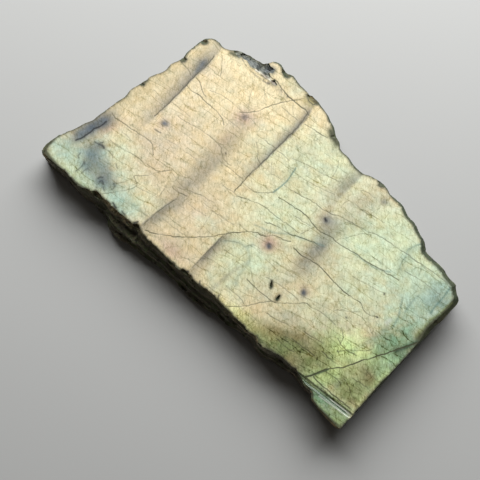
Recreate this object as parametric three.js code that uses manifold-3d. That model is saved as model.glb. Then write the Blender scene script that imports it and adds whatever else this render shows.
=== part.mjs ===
// A polished slab of labradorite, lying flat on its sawn underside.
// One face is ground flat and polished, one end is sawn square, and the rest of the edge is broken stone.
// Millimetres, +Z up. The slab stands on z = 0 with the middle of its box on the Z axis.

import * as THREE from 'three';
import Module from 'manifold-3d';
import { mergeVertices } from 'three/addons/utils/BufferGeometryUtils.js';

const wasm = await Module();
wasm.setup();

// Driving dimensions of the slab
const slabThickness = 7;
const outlineStations = 400;
const divisionsPerCorner = 20;
const mergeGap = 1e-4;

// The outline seen from above, as corners [x, y] measured from the slab's left end.
// The long edge was split along the grain and is nearly straight, with small steps.
const longEdge = [
  [0.0, 0.1], [1.0, -0.5], [4.2, -0.3], [6.6, -0.3], [8.7, 0.0], [11.9, -0.5], [13.8, -0.5], [15.2, 0.0],
  [17.0, 0.7], [19.0, 0.8], [20.0, 1.4], [21.3, 1.6], [22.9, 1.3], [25.0, 1.6], [28.0, 1.8], [30.2, 1.9],
  [31.0, 2.5], [33.2, 1.8], [35.0, 1.5], [38.5, 1.7], [42.5, 1.5], [46.0, 1.4], [48.3, 2.1], [50.9, 1.9],
  [54.1, 2.3], [58.4, 2.5], [61.3, 2.1], [66.1, 2.1], [67.8, 1.8], [70.7, 2.2], [72.0, 1.5], [73.8, 1.4],
  [75.6, 1.9], [77.8, 2.6], [81.2, 2.8], [83.2, 2.9], [85.0, 2.5], [87.2, 1.7], [88.7, 1.8], [89.6, 1.2],
  [90.1, 0.4], [92.0, -0.1], [95.1, -0.3], [97.8, -0.5], [99.0, -0.5], [99.9, 0.0],
];

// The sawn end is one straight saw cut, square to the long edge, up to a rounded corner.
const sawnEnd = [
  [99.9, 1.0], [99.9, 3.0], [100.0, 9.0], [100.1, 16.0], [100.2, 23.0], [100.4, 30.0], [100.4, 33.8],
  [100.7, 35.2], [100.8, 39.0], [100.8, 41.0], [100.3, 42.4], [99.1, 43.2],
];

// The far edge is broken, with shallow bites between blunt corners.
const brokenEdge = [
  [98.1, 43.9], [97.6, 44.5], [95.5, 44.8], [92.6, 45.5], [89.9, 45.7], [86.8, 46.0], [86.0, 46.7],
  [84.6, 47.8], [82.4, 48.5], [80.4, 49.4], [77.8, 49.7], [76.5, 50.2], [75.1, 50.8], [72.9, 50.8],
  [71.0, 50.7], [69.8, 51.2], [67.3, 51.5], [64.2, 50.9], [62.6, 50.2], [59.3, 50.1], [57.1, 50.8],
  [54.7, 50.9], [54.0, 51.2], [53.3, 52.0], [51.3, 52.8], [50.1, 53.6], [48.7, 54.6], [47.4, 54.9],
  [45.3, 55.8], [43.1, 56.2], [39.8, 56.7], [39.1, 56.4], [38.0, 56.7], [35.8, 56.8], [34.0, 57.1],
  [32.5, 57.3], [30.8, 56.8], [28.4, 57.4], [27.2, 57.3], [26.3, 56.8], [25.8, 55.9], [25.1, 55.0],
  [23.1, 54.5], [20.6, 54.0], [17.6, 52.8], [16.2, 51.8], [14.5, 51.1], [12.4, 51.3], [11.0, 51.1],
  [9.8, 50.2],
];

// The short end runs back to the left corner in low steps.
const shortEnd = [
  [9.0, 48.7], [8.8, 46.9], [8.4, 43.9], [8.8, 42.0], [8.7, 40.9], [7.7, 38.7], [7.8, 37.0], [7.6, 35.6],
  [6.7, 33.7], [6.1, 32.3], [6.1, 31.3], [5.5, 28.6], [5.0, 26.4], [5.3, 24.6], [4.8, 21.8], [4.2, 17.9],
  [3.9, 15.5], [3.9, 14.5], [2.9, 12.4], [2.0, 9.6], [0.4, 6.0], [-0.2, 2.8], [-0.3, 1.2],
];

// How the rim is worn and how the wall leans, at places along the outline.
// bevel is how far the polished face stops short of the rim, drop how far the rim lies below the face,
// and foot how far the wall stands out beyond the rim at the underside (negative where it is undercut).
const rimPlaces = [
  { at: [0.2, 0.6], bevel: 0.8, drop: 0.8, foot: 0.2 },
  { at: [6.6, -0.2], bevel: 0.3, drop: 0.7, foot: 0.2 },
  { at: [12.0, -0.4], bevel: 0.3, drop: 0.8, foot: 0.3 },
  { at: [17.0, 0.9], bevel: 0.4, drop: 0.7, foot: 0.9 },
  { at: [21.0, 1.5], bevel: 0.3, drop: 0.5, foot: 2.2 },
  { at: [26.8, 1.8], bevel: 0.3, drop: 0.5, foot: 4.0 },
  { at: [31.5, 2.2], bevel: 0.2, drop: 0.4, foot: 4.1 },
  { at: [35.0, 1.5], bevel: 0.2, drop: 0.4, foot: 2.8 },
  { at: [44.0, 1.5], bevel: 0.2, drop: 0.4, foot: 2.1 },
  { at: [50.9, 1.9], bevel: 0.2, drop: 0.4, foot: 2.9 },
  { at: [55.5, 2.4], bevel: 0.2, drop: 0.4, foot: 2.9 },
  { at: [61.3, 2.1], bevel: 0.2, drop: 0.4, foot: 1.8 },
  { at: [68.0, 1.8], bevel: 0.2, drop: 0.4, foot: 0.8 },
  { at: [78.5, 2.6], bevel: 0.2, drop: 0.4, foot: 1.3 },
  { at: [85.0, 2.5], bevel: 0.3, drop: 0.4, foot: 0.7 },
  { at: [92.5, 0.2], bevel: 0.3, drop: 0.5, foot: -0.5 },
  { at: [99.7, 1.0], bevel: 0.3, drop: 0.4, foot: -0.8 },
  { at: [100.1, 25.0], bevel: 0.3, drop: 0.4, foot: -0.8 },
  { at: [100.4, 34.6], bevel: 1.1, drop: 0.9, foot: -0.7 },
  { at: [100.6, 40.2], bevel: 1.1, drop: 0.9, foot: -0.4 },
  { at: [98.8, 43.2], bevel: 1.0, drop: 0.9, foot: 0.2 },
  { at: [90.0, 45.5], bevel: 1.1, drop: 1.0, foot: 0.4 },
  { at: [80.5, 49.1], bevel: 0.7, drop: 0.9, foot: 0.3 },
  { at: [67.3, 51.3], bevel: 0.3, drop: 0.5, foot: 0.2 },
  { at: [50.0, 53.4], bevel: 0.4, drop: 0.6, foot: 0.3 },
  { at: [30.0, 57.0], bevel: 0.4, drop: 0.6, foot: 0.2 },
  { at: [18.0, 52.3], bevel: 0.4, drop: 0.8, foot: 0.5 },
  { at: [11.5, 50.7], bevel: 0.5, drop: 0.7, foot: 0.2 },
  { at: [8.0, 36.0], bevel: 0.2, drop: 0.5, foot: 0.0 },
  { at: [4.5, 16.0], bevel: 0.2, drop: 0.5, foot: 0.1 },
  { at: [1.0, 6.5], bevel: 0.2, drop: 0.5, foot: 0.1 },
  { at: [0.0, 3.4], bevel: 0.3, drop: 0.5, foot: 0.2 },
];
const rimBlendReach = 1.5;
const rimBlendPower = 4;

// The wall from the rim down to the underside. height is a share of the slab's thickness, lean the share
// of the foot that the wall has reached, smooth the share of the outline's small steps that has faded out,
// rough how strongly the stone's lumps show, and wander how far the level rises and falls along the wall.
// Two pairs of close levels make the long ledges that the grain leaves in the broken wall.
const wallLevels = [
  { height: 0.82, lean: 0.20, smooth: 0.15, rough: 0.6, wander: 0.6 },
  { height: 0.62, lean: 0.30, smooth: 0.30, rough: 1.0, wander: 1.0 },
  { height: 0.56, lean: 0.72, smooth: 0.40, rough: 1.0, wander: 1.0 },
  { height: 0.32, lean: 0.82, smooth: 0.55, rough: 1.0, wander: 1.0 },
  { height: 0.26, lean: 1.06, smooth: 0.65, rough: 1.0, wander: 1.0 },
  { height: 0.07, lean: 1.00, smooth: 0.70, rough: 0.7, wander: 0.3 },
  { height: 0.00, lean: 1.00, smooth: 0.70, rough: 0.7, wander: 0.0 },
];
const footInset = 0.35;
const smoothingReach = 3.2;
const wallRoughness = 0.28;
const sawnRoughness = 0.05;
const lumpLengths = [9, 4.2, 1.9];
const lumpFade = 1.4;
const rimRoughness = 0.12;
const rimLength = 1.7;
const wearRoughness = 0.36;
const wearLength = 2.4;
const ledgeWander = 0.35;
const ledgeLength = 14;

// Where the saw cut begins: the rim to the right of x and below y is sawn
const sawnStart = { x: 99.5, y: 41 };

// The rough trench, where the face has broken away beside a crack at the far edge.
// Each bite is a lump of stone that has come out: its middle, its radius and its depth below the face.
const trenchBites = [
  { middle: [18.4, 52.6], radius: 1.1, depth: 0.8 },
  { middle: [20.5, 53.3], radius: 1.6, depth: 1.1 },
  { middle: [22.7, 53.5], radius: 1.9, depth: 1.3 },
  { middle: [24.9, 53.8], radius: 1.9, depth: 1.4 },
  { middle: [26.3, 54.3], radius: 1.3, depth: 0.9 },
  { middle: [27.2, 52.9], radius: 0.9, depth: 0.5 },
  { middle: [30.3, 52.6], radius: 0.7, depth: 0.3 },
];
const biteLength = 1.5;
const biteHeight = 0.8;
const biteRoughness = 0.55;
const ballDetail = 1;

// Chips off the rim
const rimChips = [
  { middle: [18.5, 0.4], radius: 1.5, depth: 1.2 },
  { middle: [31.0, 2.0], radius: 0.9, depth: 0.7 },
  { middle: [48.3, 1.5], radius: 1.2, depth: 0.9 },
  { middle: [72.3, 1.0], radius: 0.8, depth: 0.5 },
  { middle: [100.6, 34.2], radius: 0.8, depth: 0.7 },
  { middle: [67.6, 51.5], radius: 0.8, depth: 0.6 },
  { middle: [52.4, 52.9], radius: 2.1, depth: 0.4 },
  { middle: [40.8, 56.3], radius: 1.9, depth: 0.3 },
  { middle: [31.2, 57.0], radius: 1.2, depth: 0.8 },
  { middle: [9.3, 48.6], radius: 0.8, depth: 0.6 },
  { middle: [8.8, 41.6], radius: 0.8, depth: 0.6 },
  { middle: [5.9, 29.6], radius: 0.6, depth: 0.5 },
];

// The straight groove across the tip, with a flat floor and sloping sides, from the long edge to the saw cut
const groove = { start: [84.0, 2.5], end: [101.5, 4.0], floor: 0.5, mouth: 1.4, depth: 0.24 };

// Two small pits in the polished face: short slits, each wider towards its end
const pits = [
  { start: [64.2, 14.9], end: [65.4, 13.3], width: 0.55, depth: 0.5 },
  { start: [68.1, 13.7], end: [68.3, 12.0], width: 0.6, depth: 0.5 },
];
const pitTaper = 0.35;

// The scatter's seed and waves, and its row for each thing that varies by chance
const scatterSeed = 190.3;
const scatterWaves = { step: 127.1, row: 311.7, reach: 43758.5453 };
const scatterRows = { wear: 40, rim: 41, ledge: 50, bite: 60, biteTurn: 61 };

// A repeatable scatter of numbers from 0 to 1
function scatter(step, row) {
  const angle = step * scatterWaves.step + row * scatterWaves.row + scatterSeed;
  const wave = Math.sin(angle) * scatterWaves.reach;
  return wave - Math.floor(wave);
}

// Smooth lumps of the given length along the outline, from -1 to 1, which meet where the outline closes
function lumps(distance, perimeter, length, row) {
  const count = Math.round(perimeter / length);
  const place = (distance / perimeter) * count;
  const step = Math.floor(place);
  const blend = THREE.MathUtils.smoothstep(place - step, 0, 1);
  const here = scatter(step % count, row);
  const next = scatter((step + 1) % count, row);
  return 2 * THREE.MathUtils.lerp(here, next, blend) - 1;
}

function roughness(distance, perimeter, row) {
  let total = 0;
  lumpLengths.forEach((length, octave) => {
    total += lumps(distance, perimeter, length, row * lumpLengths.length + octave) / (octave + lumpFade);
  });
  return total;
}

// Turns a geometry into a closed solid that can be joined or cut
function toSolid(geometry) {
  const plain = geometry.clone();
  plain.deleteAttribute('normal');
  plain.deleteAttribute('uv');
  const merged = mergeVertices(plain, mergeGap);
  const vertProperties = new Float32Array(merged.attributes.position.array);
  const triVerts = new Uint32Array(merged.index.array);
  return new wasm.Manifold(new wasm.Mesh({ numProp: 3, vertProperties, triVerts }));
}

function toGeometry(solid) {
  const mesh = solid.getMesh();
  const geometry = new THREE.BufferGeometry();
  geometry.setAttribute('position', new THREE.BufferAttribute(mesh.vertProperties, 3));
  geometry.setIndex(new THREE.BufferAttribute(mesh.triVerts, 1));
  geometry.computeVertexNormals();
  return geometry;
}

// The outline as evenly spaced stations, each with its place, its outward direction and its rim
function makeStations() {
  const corners = [...longEdge, ...sawnEnd, ...brokenEdge, ...shortEnd];
  const points = corners.map(([x, y]) => new THREE.Vector3(x, y, 0));
  const curve = new THREE.CatmullRomCurve3(points, true, 'centripetal');
  curve.arcLengthDivisions = corners.length * divisionsPerCorner;
  const perimeter = curve.getLength();
  const places = curve.getSpacedPoints(outlineStations).slice(0, outlineStations);
  const window = Math.round((smoothingReach / perimeter) * outlineStations);
  const smoothed = places.map((_, index) => averageAround(places, index, window));
  return places.map((rim, index) => {
    const before = smoothed[(index - window + outlineStations) % outlineStations];
    const after = smoothed[(index + window) % outlineStations];
    const along = new THREE.Vector3().subVectors(after, before).normalize();
    const outward = new THREE.Vector3(along.y, -along.x, 0);
    const distance = (index / outlineStations) * perimeter;
    return { rim, smooth: smoothed[index], outward, distance, perimeter, ...rimAt(rim) };
  });
}

function averageAround(places, index, window) {
  const total = new THREE.Vector3();
  let weights = 0;
  for (let step = -window; step <= window; step += 1) {
    const weight = 1 + Math.cos((Math.PI * step) / (window + 1));
    const place = places[(index + step + places.length) % places.length];
    total.addScaledVector(place, weight);
    weights += weight;
  }
  return total.divideScalar(weights);
}

// Bevel, drop and foot at a place on the outline, blended from the nearest named places
function rimAt(place) {
  const rim = { bevel: 0, drop: 0, foot: 0 };
  let weights = 0;
  for (const known of rimPlaces) {
    const gap = Math.hypot(place.x - known.at[0], place.y - known.at[1]);
    const weight = 1 / (rimBlendReach + gap) ** rimBlendPower;
    rim.bevel += weight * known.bevel;
    rim.drop += weight * known.drop;
    rim.foot += weight * known.foot;
    weights += weight;
  }
  rim.bevel /= weights;
  rim.drop /= weights;
  rim.foot /= weights;
  return rim;
}

function isSawn(station) {
  return station.rim.x > sawnStart.x && station.rim.y < sawnStart.y;
}

// Rings of points from the polished face down to the underside, one point for each station
function makeRings(stations) {
  const rings = [];
  rings.push(stations.map((station) => {
    const change = lumps(station.distance, station.perimeter, wearLength, scatterRows.wear);
    const wear = station.bevel * (1 + wearRoughness * change);
    return pointOf(station.rim, station.outward, -wear, slabThickness);
  }));
  rings.push(stations.map((station) => {
    const shift = rimRoughness * lumps(station.distance, station.perimeter, rimLength, scatterRows.rim);
    return pointOf(station.rim, station.outward, isSawn(station) ? 0 : shift, slabThickness - station.drop);
  }));
  wallLevels.forEach((level, row) => {
    rings.push(stations.map((station) => makeWallPoint(station, level, row)));
  });
  return rings;
}

function makeWallPoint(station, level, row) {
  const sawn = isSawn(station);
  const lean = sawn ? 1 - level.height : level.lean;
  const rough = (sawn ? sawnRoughness : wallRoughness) * level.rough;
  const lump = rough * roughness(station.distance, station.perimeter, row);
  const rise = lumps(station.distance, station.perimeter, ledgeLength, scatterRows.ledge);
  const wander = sawn ? 0 : ledgeWander * level.wander * rise;
  const inset = level.height === 0 ? footInset : 0;
  const base = new THREE.Vector3().lerpVectors(station.rim, station.smooth, level.smooth);
  const offset = station.foot * lean + lump - inset;
  return pointOf(base, station.outward, offset, level.height * slabThickness + wander);
}

function pointOf(base, outward, offset, height) {
  return new THREE.Vector3(base.x + outward.x * offset, base.y + outward.y * offset, height);
}

// Closes the rings into one solid: the wall between them, the polished face and the underside
function makeSlabGeometry() {
  const stations = makeStations();
  const rings = makeRings(stations);
  const count = stations.length;
  const positions = rings.flat().flatMap((point) => [point.x, point.y, point.z]);
  const faces = [];
  for (let row = 0; row + 1 < rings.length; row += 1) {
    for (let index = 0; index < count; index += 1) {
      const next = (index + 1) % count;
      const upper = row * count;
      const lower = upper + count;
      faces.push(upper + index, lower + index, upper + next);
      faces.push(upper + next, lower + index, lower + next);
    }
  }
  const last = (rings.length - 1) * count;
  for (const [a, b, c] of THREE.ShapeUtils.triangulateShape(rings[0], [])) {
    faces.push(a, b, c);
  }
  for (const [a, b, c] of THREE.ShapeUtils.triangulateShape(rings[rings.length - 1], [])) {
    faces.push(last + a, last + c, last + b);
  }
  const geometry = new THREE.BufferGeometry();
  geometry.setAttribute('position', new THREE.Float32BufferAttribute(positions, 3));
  geometry.setIndex(faces);
  return geometry;
}

// A broken-out lump of stone: a rough faceted ball, longer along the grain, sunk to the wanted depth
function makeBite({ middle, radius, depth }, row) {
  const ball = new THREE.IcosahedronGeometry(radius, ballDetail);
  ball.deleteAttribute('normal');
  ball.deleteAttribute('uv');
  const geometry = mergeVertices(ball, mergeGap);
  const corners = geometry.attributes.position;
  const corner = new THREE.Vector3();
  for (let index = 0; index < corners.count; index += 1) {
    corner.fromBufferAttribute(corners, index);
    corner.multiplyScalar(1 + biteRoughness * (scatter(index, scatterRows.bite + row) - 0.5));
    corners.setXYZ(index, corner.x, corner.y, corner.z);
  }
  geometry.rotateX(scatter(row, scatterRows.biteTurn) * Math.PI);
  geometry.scale(biteLength, 1, biteHeight);
  geometry.translate(middle[0], middle[1], slabThickness - depth + radius * biteHeight);
  return toSolid(geometry);
}

// A pit's cutter: a long ball half sunk in the face, wider towards its end
function makePit({ start, end, width, depth }) {
  const lengthwise = new THREE.Vector2(end[0] - start[0], end[1] - start[1]);
  const geometry = new THREE.IcosahedronGeometry(1, ballDetail);
  const corners = geometry.attributes.position;
  for (let index = 0; index < corners.count; index += 1) {
    corners.setY(index, corners.getY(index) * (1 + pitTaper * corners.getX(index)));
  }
  geometry.scale(lengthwise.length() / 2, width / 2, depth);
  geometry.rotateZ(lengthwise.angle());
  geometry.translate((start[0] + end[0]) / 2, (start[1] + end[1]) / 2, slabThickness);
  return toSolid(geometry);
}

// The groove's cutter: a long bar with a flat floor and sloping sides, open above the face
function makeGroove() {
  const [startX, startY] = groove.start;
  const [endX, endY] = groove.end;
  const length = Math.hypot(endX - startX, endY - startY);
  const slope = (groove.mouth - groove.floor) / 2;
  const section = new THREE.Shape([
    new THREE.Vector2(-groove.floor / 2, -groove.depth),
    new THREE.Vector2(groove.floor / 2, -groove.depth),
    new THREE.Vector2(groove.mouth / 2 + slope, groove.depth),
    new THREE.Vector2(-groove.mouth / 2 - slope, groove.depth),
  ]);
  const geometry = new THREE.ExtrudeGeometry(section, { depth: length, bevelEnabled: false });
  geometry.rotateX(Math.PI / 2);
  geometry.rotateZ(Math.PI / 2 + Math.atan2(endY - startY, endX - startX));
  geometry.translate(startX, startY, slabThickness);
  return toSolid(geometry);
}

function makeSlab() {
  let slab = toSolid(makeSlabGeometry());
  [...trenchBites, ...rimChips].forEach((bite, row) => {
    slab = slab.subtract(makeBite(bite, row));
  });
  pits.forEach((pit) => {
    slab = slab.subtract(makePit(pit));
  });
  slab = slab.subtract(makeGroove());
  const geometry = toGeometry(slab);
  geometry.computeBoundingBox();
  const middle = geometry.boundingBox.getCenter(new THREE.Vector3());
  geometry.translate(-middle.x, -middle.y, 0);
  return geometry;
}

const labradorite = new THREE.MeshStandardMaterial({ color: 0xc9c79a, roughness: 0.3, metalness: 0.1 });
const slab = new THREE.Mesh(makeSlab(), labradorite);
slab.name = 'labradorite_slab';

const model = new THREE.Group();
model.add(slab);

export default model;
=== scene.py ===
import math

import bmesh
import bpy
import numpy as np
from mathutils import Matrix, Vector, noise
from mathutils.geometry import delaunay_2d_cdt
from mathutils.kdtree import KDTree


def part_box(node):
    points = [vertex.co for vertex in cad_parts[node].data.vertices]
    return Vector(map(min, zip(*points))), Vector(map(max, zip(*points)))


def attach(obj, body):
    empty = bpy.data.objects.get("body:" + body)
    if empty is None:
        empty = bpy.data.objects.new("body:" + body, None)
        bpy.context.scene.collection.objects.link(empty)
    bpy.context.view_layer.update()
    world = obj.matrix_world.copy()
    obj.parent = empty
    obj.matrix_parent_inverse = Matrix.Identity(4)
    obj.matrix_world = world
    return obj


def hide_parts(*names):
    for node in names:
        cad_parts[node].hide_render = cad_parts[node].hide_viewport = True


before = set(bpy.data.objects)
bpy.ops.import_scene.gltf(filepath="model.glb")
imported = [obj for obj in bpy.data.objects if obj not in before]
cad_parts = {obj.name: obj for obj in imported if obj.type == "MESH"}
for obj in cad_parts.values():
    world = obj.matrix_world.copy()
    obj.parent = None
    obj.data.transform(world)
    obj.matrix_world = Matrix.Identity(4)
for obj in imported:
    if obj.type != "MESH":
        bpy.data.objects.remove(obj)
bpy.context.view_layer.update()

# The camera looks down on the slab from nearly straight above, across its far left corner,
# as the photograph does. Its picture is 480 pixels square.
picture_side = 480
picture_middle = picture_side / 2
camera_azimuth = math.radians(43)
camera_elevation = math.radians(78)
camera_distance = 0.230
focal_pixels = 943
face_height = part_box("labradorite_slab")[1].z
camera_aim = Vector((0.00164, -0.01048, face_height))
camera_back = Vector((
    math.sin(camera_azimuth) * math.cos(camera_elevation),
    -math.cos(camera_azimuth) * math.cos(camera_elevation),
    math.sin(camera_elevation),
))
camera_right = Vector((math.cos(camera_azimuth), math.sin(camera_azimuth), 0))
camera_up = camera_back.cross(camera_right)

camera = bpy.data.objects.new("camera", bpy.data.cameras.new("camera"))
camera.data.sensor_width = 36
camera.data.lens = camera.data.sensor_width * focal_pixels / picture_side
camera.data.clip_start = 0.01
camera.location = camera_aim + camera_back * camera_distance
camera.rotation_mode = "QUATERNION"
camera.rotation_quaternion = (-camera_back).to_track_quat("-Z", "Y")
bpy.context.collection.objects.link(camera)
bpy.context.scene.camera = camera
bpy.context.scene.view_settings.view_transform = "Standard"

# The slab lies on a plain pale table top, in soft daylight from the top of the picture.
# The lamp is a broad soft panel, and the sky around it fills the shadows.
floor_side = 1.6
floor_colour = (0.50, 0.505, 0.495, 1)
floor_roughness = 0.8
lamp_width = 0.64
lamp_breadth = 0.30
lamp_distance = 0.45
lamp_power = 4.95
lamp_lean = (0.40, 2.5)
sky_colour = (1.0, 0.93, 0.84, 1)
sky_strength = 0.04


def add_node(tree, kind, inputs=None, **settings):
    """A new node with its settings. Each input is set to a value, or linked from another node's output."""
    made = tree.nodes.new(kind)
    for name, value in settings.items():
        setattr(made, name, value)
    for name, value in (inputs or {}).items():
        if isinstance(value, bpy.types.NodeSocket):
            tree.links.new(value, made.inputs[name])
        else:
            made.inputs[name].default_value = value
    return made


def new_material(name):
    """A material with nothing in its tree but its shader and output."""
    material = bpy.data.materials.new(name)
    material.use_nodes = True
    tree = material.node_tree
    tree.nodes.clear()
    shader = add_node(tree, "ShaderNodeBsdfPrincipled")
    add_node(tree, "ShaderNodeOutputMaterial", {"Surface": shader.outputs["BSDF"]})
    return material, tree, shader


floor_mesh = bpy.data.meshes.new("table_top")
floor_reach = floor_side / 2
floor_corners = [(-floor_reach, -floor_reach, 0), (floor_reach, -floor_reach, 0),
                 (floor_reach, floor_reach, 0), (-floor_reach, floor_reach, 0)]
floor_mesh.from_pydata(floor_corners, [], [(0, 1, 2, 3)])
floor = bpy.data.objects.new("table_top", floor_mesh)
bpy.context.collection.objects.link(floor)
floor_material, _, floor_shader = new_material("pale_table_top")
floor_shader.inputs["Base Color"].default_value = floor_colour
floor_shader.inputs["Roughness"].default_value = floor_roughness
floor_mesh.materials.append(floor_material)

lamp = bpy.data.objects.new("daylight", bpy.data.lights.new("daylight", "AREA"))
lamp.data.shape = "RECTANGLE"
lamp.data.size = lamp_width
lamp.data.size_y = lamp_breadth
lamp.data.energy = lamp_power
lamp_way = (camera_right * lamp_lean[0] + camera_up * lamp_lean[1] + Vector((0, 0, 1))).normalized()
lamp.location = camera_aim + lamp_way * lamp_distance
lamp.rotation_mode = "QUATERNION"
lamp.rotation_quaternion = lamp_way.to_track_quat("Z", "Y")
bpy.context.collection.objects.link(lamp)

world = bpy.data.worlds.new("soft_sky")
world.use_nodes = True
sky = world.node_tree.nodes["Background"]
sky.inputs["Color"].default_value = sky_colour
sky.inputs["Strength"].default_value = sky_strength
bpy.context.scene.world = world

# The broken wall around the slab: raw labradorite, split in long low ledges when the block was broken.
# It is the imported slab's own wall, cut finer and roughened. The sawn end keeps its flat cut.
MM = 0.001
wall_edge_limit = 0.5 * MM
wall_cut_rounds = 3
ledge_length = 2.6 * MM
ledge_height = 0.55 * MM
ledge_relief = 0.36 * MM
ledge_warp_scale = 0.8
grain_size = 0.75 * MM
grain_relief = 0.42 * MM
grain_roughness = 0.6
wall_seed = 7.0
level_tolerance = 0.001 * MM
weld_reach = 0.01 * MM
long_wall_reach = -20 * MM
sawn_end_start = 47.6 * MM
groove_start = 33.0 * MM
groove_reach = 1.15 * MM
groove_line = ((33.8 * MM, -24.9 * MM), (51.3 * MM, -23.4 * MM))
groove_bottom = 6.3 * MM
pit_places = ((14.6 * MM, -13.3 * MM), (18.0 * MM, -14.6 * MM))
pit_reach = 1.3 * MM
long_wall_roughness = 1.0
far_wall_roughness = 0.4
tip_wall_roughness = 0.3
cut_roughness = 0.12


def reckon(tree, operation, first, second=0.0, clamp=False):
    """The outcome of a sum on two values, each a number or a node's output."""
    return add_node(tree, "ShaderNodeMath", {0: first, 1: second}, operation=operation,
                    use_clamp=clamp).outputs[0]


def reckon_vector(tree, operation, first, second):
    """The outcome of a sum on two vectors, or on a vector and a value where it is scaled."""
    second_input = "Scale" if operation == "SCALE" else 1
    return add_node(tree, "ShaderNodeVectorMath", {0: first, second_input: second},
                    operation=operation).outputs[0]


def wall_tree(material):
    """Geometry nodes that push a wall in and out in ledges and grains.

    The wall's attribute broken says how far. Where its attribute free is 0, a place keeps its height.
    """
    tree = bpy.data.node_groups.new("broken_wall", "GeometryNodeTree")
    tree.interface.new_socket("Geometry", in_out="INPUT", socket_type="NodeSocketGeometry")
    tree.interface.new_socket("Geometry", in_out="OUTPUT", socket_type="NodeSocketGeometry")
    for name in ("Ledge Length", "Ledge Height", "Ledge Relief", "Grain Size", "Grain Relief", "Seed", "Top"):
        tree.interface.new_socket(name, in_out="INPUT", socket_type="NodeSocketFloat")
    given = add_node(tree, "NodeGroupInput").outputs
    place = add_node(tree, "GeometryNodeInputPosition").outputs["Position"]

    ledge = add_node(tree, "ShaderNodeCombineXYZ", {
        "X": given["Ledge Length"], "Y": given["Ledge Length"], "Z": given["Ledge Height"]})
    ledge_place = reckon_vector(tree, "DIVIDE", place, ledge.outputs[0])
    warp = add_node(tree, "ShaderNodeTexNoise", {
        "Vector": ledge_place, "W": given["Seed"], "Scale": ledge_warp_scale, "Detail": 2.0},
        noise_dimensions="4D")
    warped = reckon_vector(tree, "ADD", ledge_place, warp.outputs["Color"])
    cells = add_node(tree, "ShaderNodeTexVoronoi", {
        "Vector": warped, "W": given["Seed"], "Scale": 1.0}, voronoi_dimensions="4D")
    steps = add_node(tree, "ShaderNodeSeparateXYZ", {0: cells.outputs["Color"]})
    ledge_push = reckon(tree, "MULTIPLY", reckon(tree, "ADD", steps.outputs[0], -0.5), given["Ledge Relief"])

    grain_place = reckon_vector(tree, "SCALE", place, reckon(tree, "DIVIDE", 1.0, given["Grain Size"]))
    grains = add_node(tree, "ShaderNodeTexNoise", {
        "Vector": grain_place, "W": given["Seed"], "Scale": 1.0, "Detail": 3.0,
        "Roughness": grain_roughness}, noise_dimensions="4D")
    grain_push = reckon(tree, "MULTIPLY", reckon(tree, "ADD", grains.outputs[0], -0.5), given["Grain Relief"])

    broken = add_node(tree, "GeometryNodeInputNamedAttribute", {"Name": "broken"}, data_type="FLOAT")
    push = reckon(tree, "MULTIPLY", reckon(tree, "ADD", ledge_push, grain_push), broken.outputs["Attribute"])
    offset = reckon_vector(tree, "SCALE", add_node(tree, "GeometryNodeInputNormal").outputs[0], push)
    free = add_node(tree, "GeometryNodeInputNamedAttribute", {"Name": "free"}, data_type="FLOAT")
    ways = add_node(tree, "ShaderNodeCombineXYZ", {"X": 1.0, "Y": 1.0, "Z": free.outputs["Attribute"]})
    held = reckon_vector(tree, "MULTIPLY", offset, ways.outputs[0])
    moved = add_node(tree, "GeometryNodeSetPosition", {"Geometry": given["Geometry"], "Offset": held})

    new_place = add_node(tree, "GeometryNodeInputPosition").outputs["Position"]
    apart = add_node(tree, "ShaderNodeSeparateXYZ", {0: new_place})
    below_top = reckon(tree, "MINIMUM", apart.outputs["Z"], given["Top"])
    kept = add_node(tree, "ShaderNodeCombineXYZ", {
        "X": apart.outputs["X"], "Y": apart.outputs["Y"], "Z": reckon(tree, "MAXIMUM", below_top, 0.0)})
    level = add_node(tree, "GeometryNodeSetPosition", {
        "Geometry": moved.outputs[0], "Position": kept.outputs[0]})
    real = add_node(tree, "GeometryNodeRealizeInstances", {"Geometry": level.outputs[0]})
    dressed = add_node(tree, "GeometryNodeSetMaterial", {"Geometry": real.outputs[0], "Material": material})
    add_node(tree, "NodeGroupOutput", {"Geometry": dressed.outputs[0]})
    return tree


def at_height(vertex, height):
    return abs(vertex.co.z - height) < level_tolerance


def in_groove(place):
    """Whether a place lies in the straight groove across the tip."""
    start, end = (Vector((x, y, 0)) for x, y in groove_line)
    way = (end - start).normalized()
    gap = Vector((place.x, place.y, 0)) - start
    aside = (gap - way * gap.dot(way)).length
    return place.x > groove_start and aside < groove_reach and place.z > groove_bottom


def roughness_at(place):
    """How strongly the wall is roughened at a place. The cuts stay flat, the long wall is the roughest."""
    near_pit = any(math.hypot(place.x - x, place.y - y) < pit_reach for x, y in pit_places)
    if near_pit or place.x > sawn_end_start or in_groove(place):
        return cut_roughness
    if place.y > long_wall_reach:
        return far_wall_roughness
    return tip_wall_roughness if place.x > groove_start else long_wall_roughness


broken_stone, broken_tree, broken_shader = new_material("broken_stone")
polished_stone, polished_tree, polished_shader = new_material("polished_stone")
sawn_stone, sawn_tree, sawn_shader = new_material("sawn_stone")
slab_materials = [broken_stone, polished_stone, sawn_stone]
polished_slot = slab_materials.index(polished_stone)
sawn_slot = slab_materials.index(sawn_stone)

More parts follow.
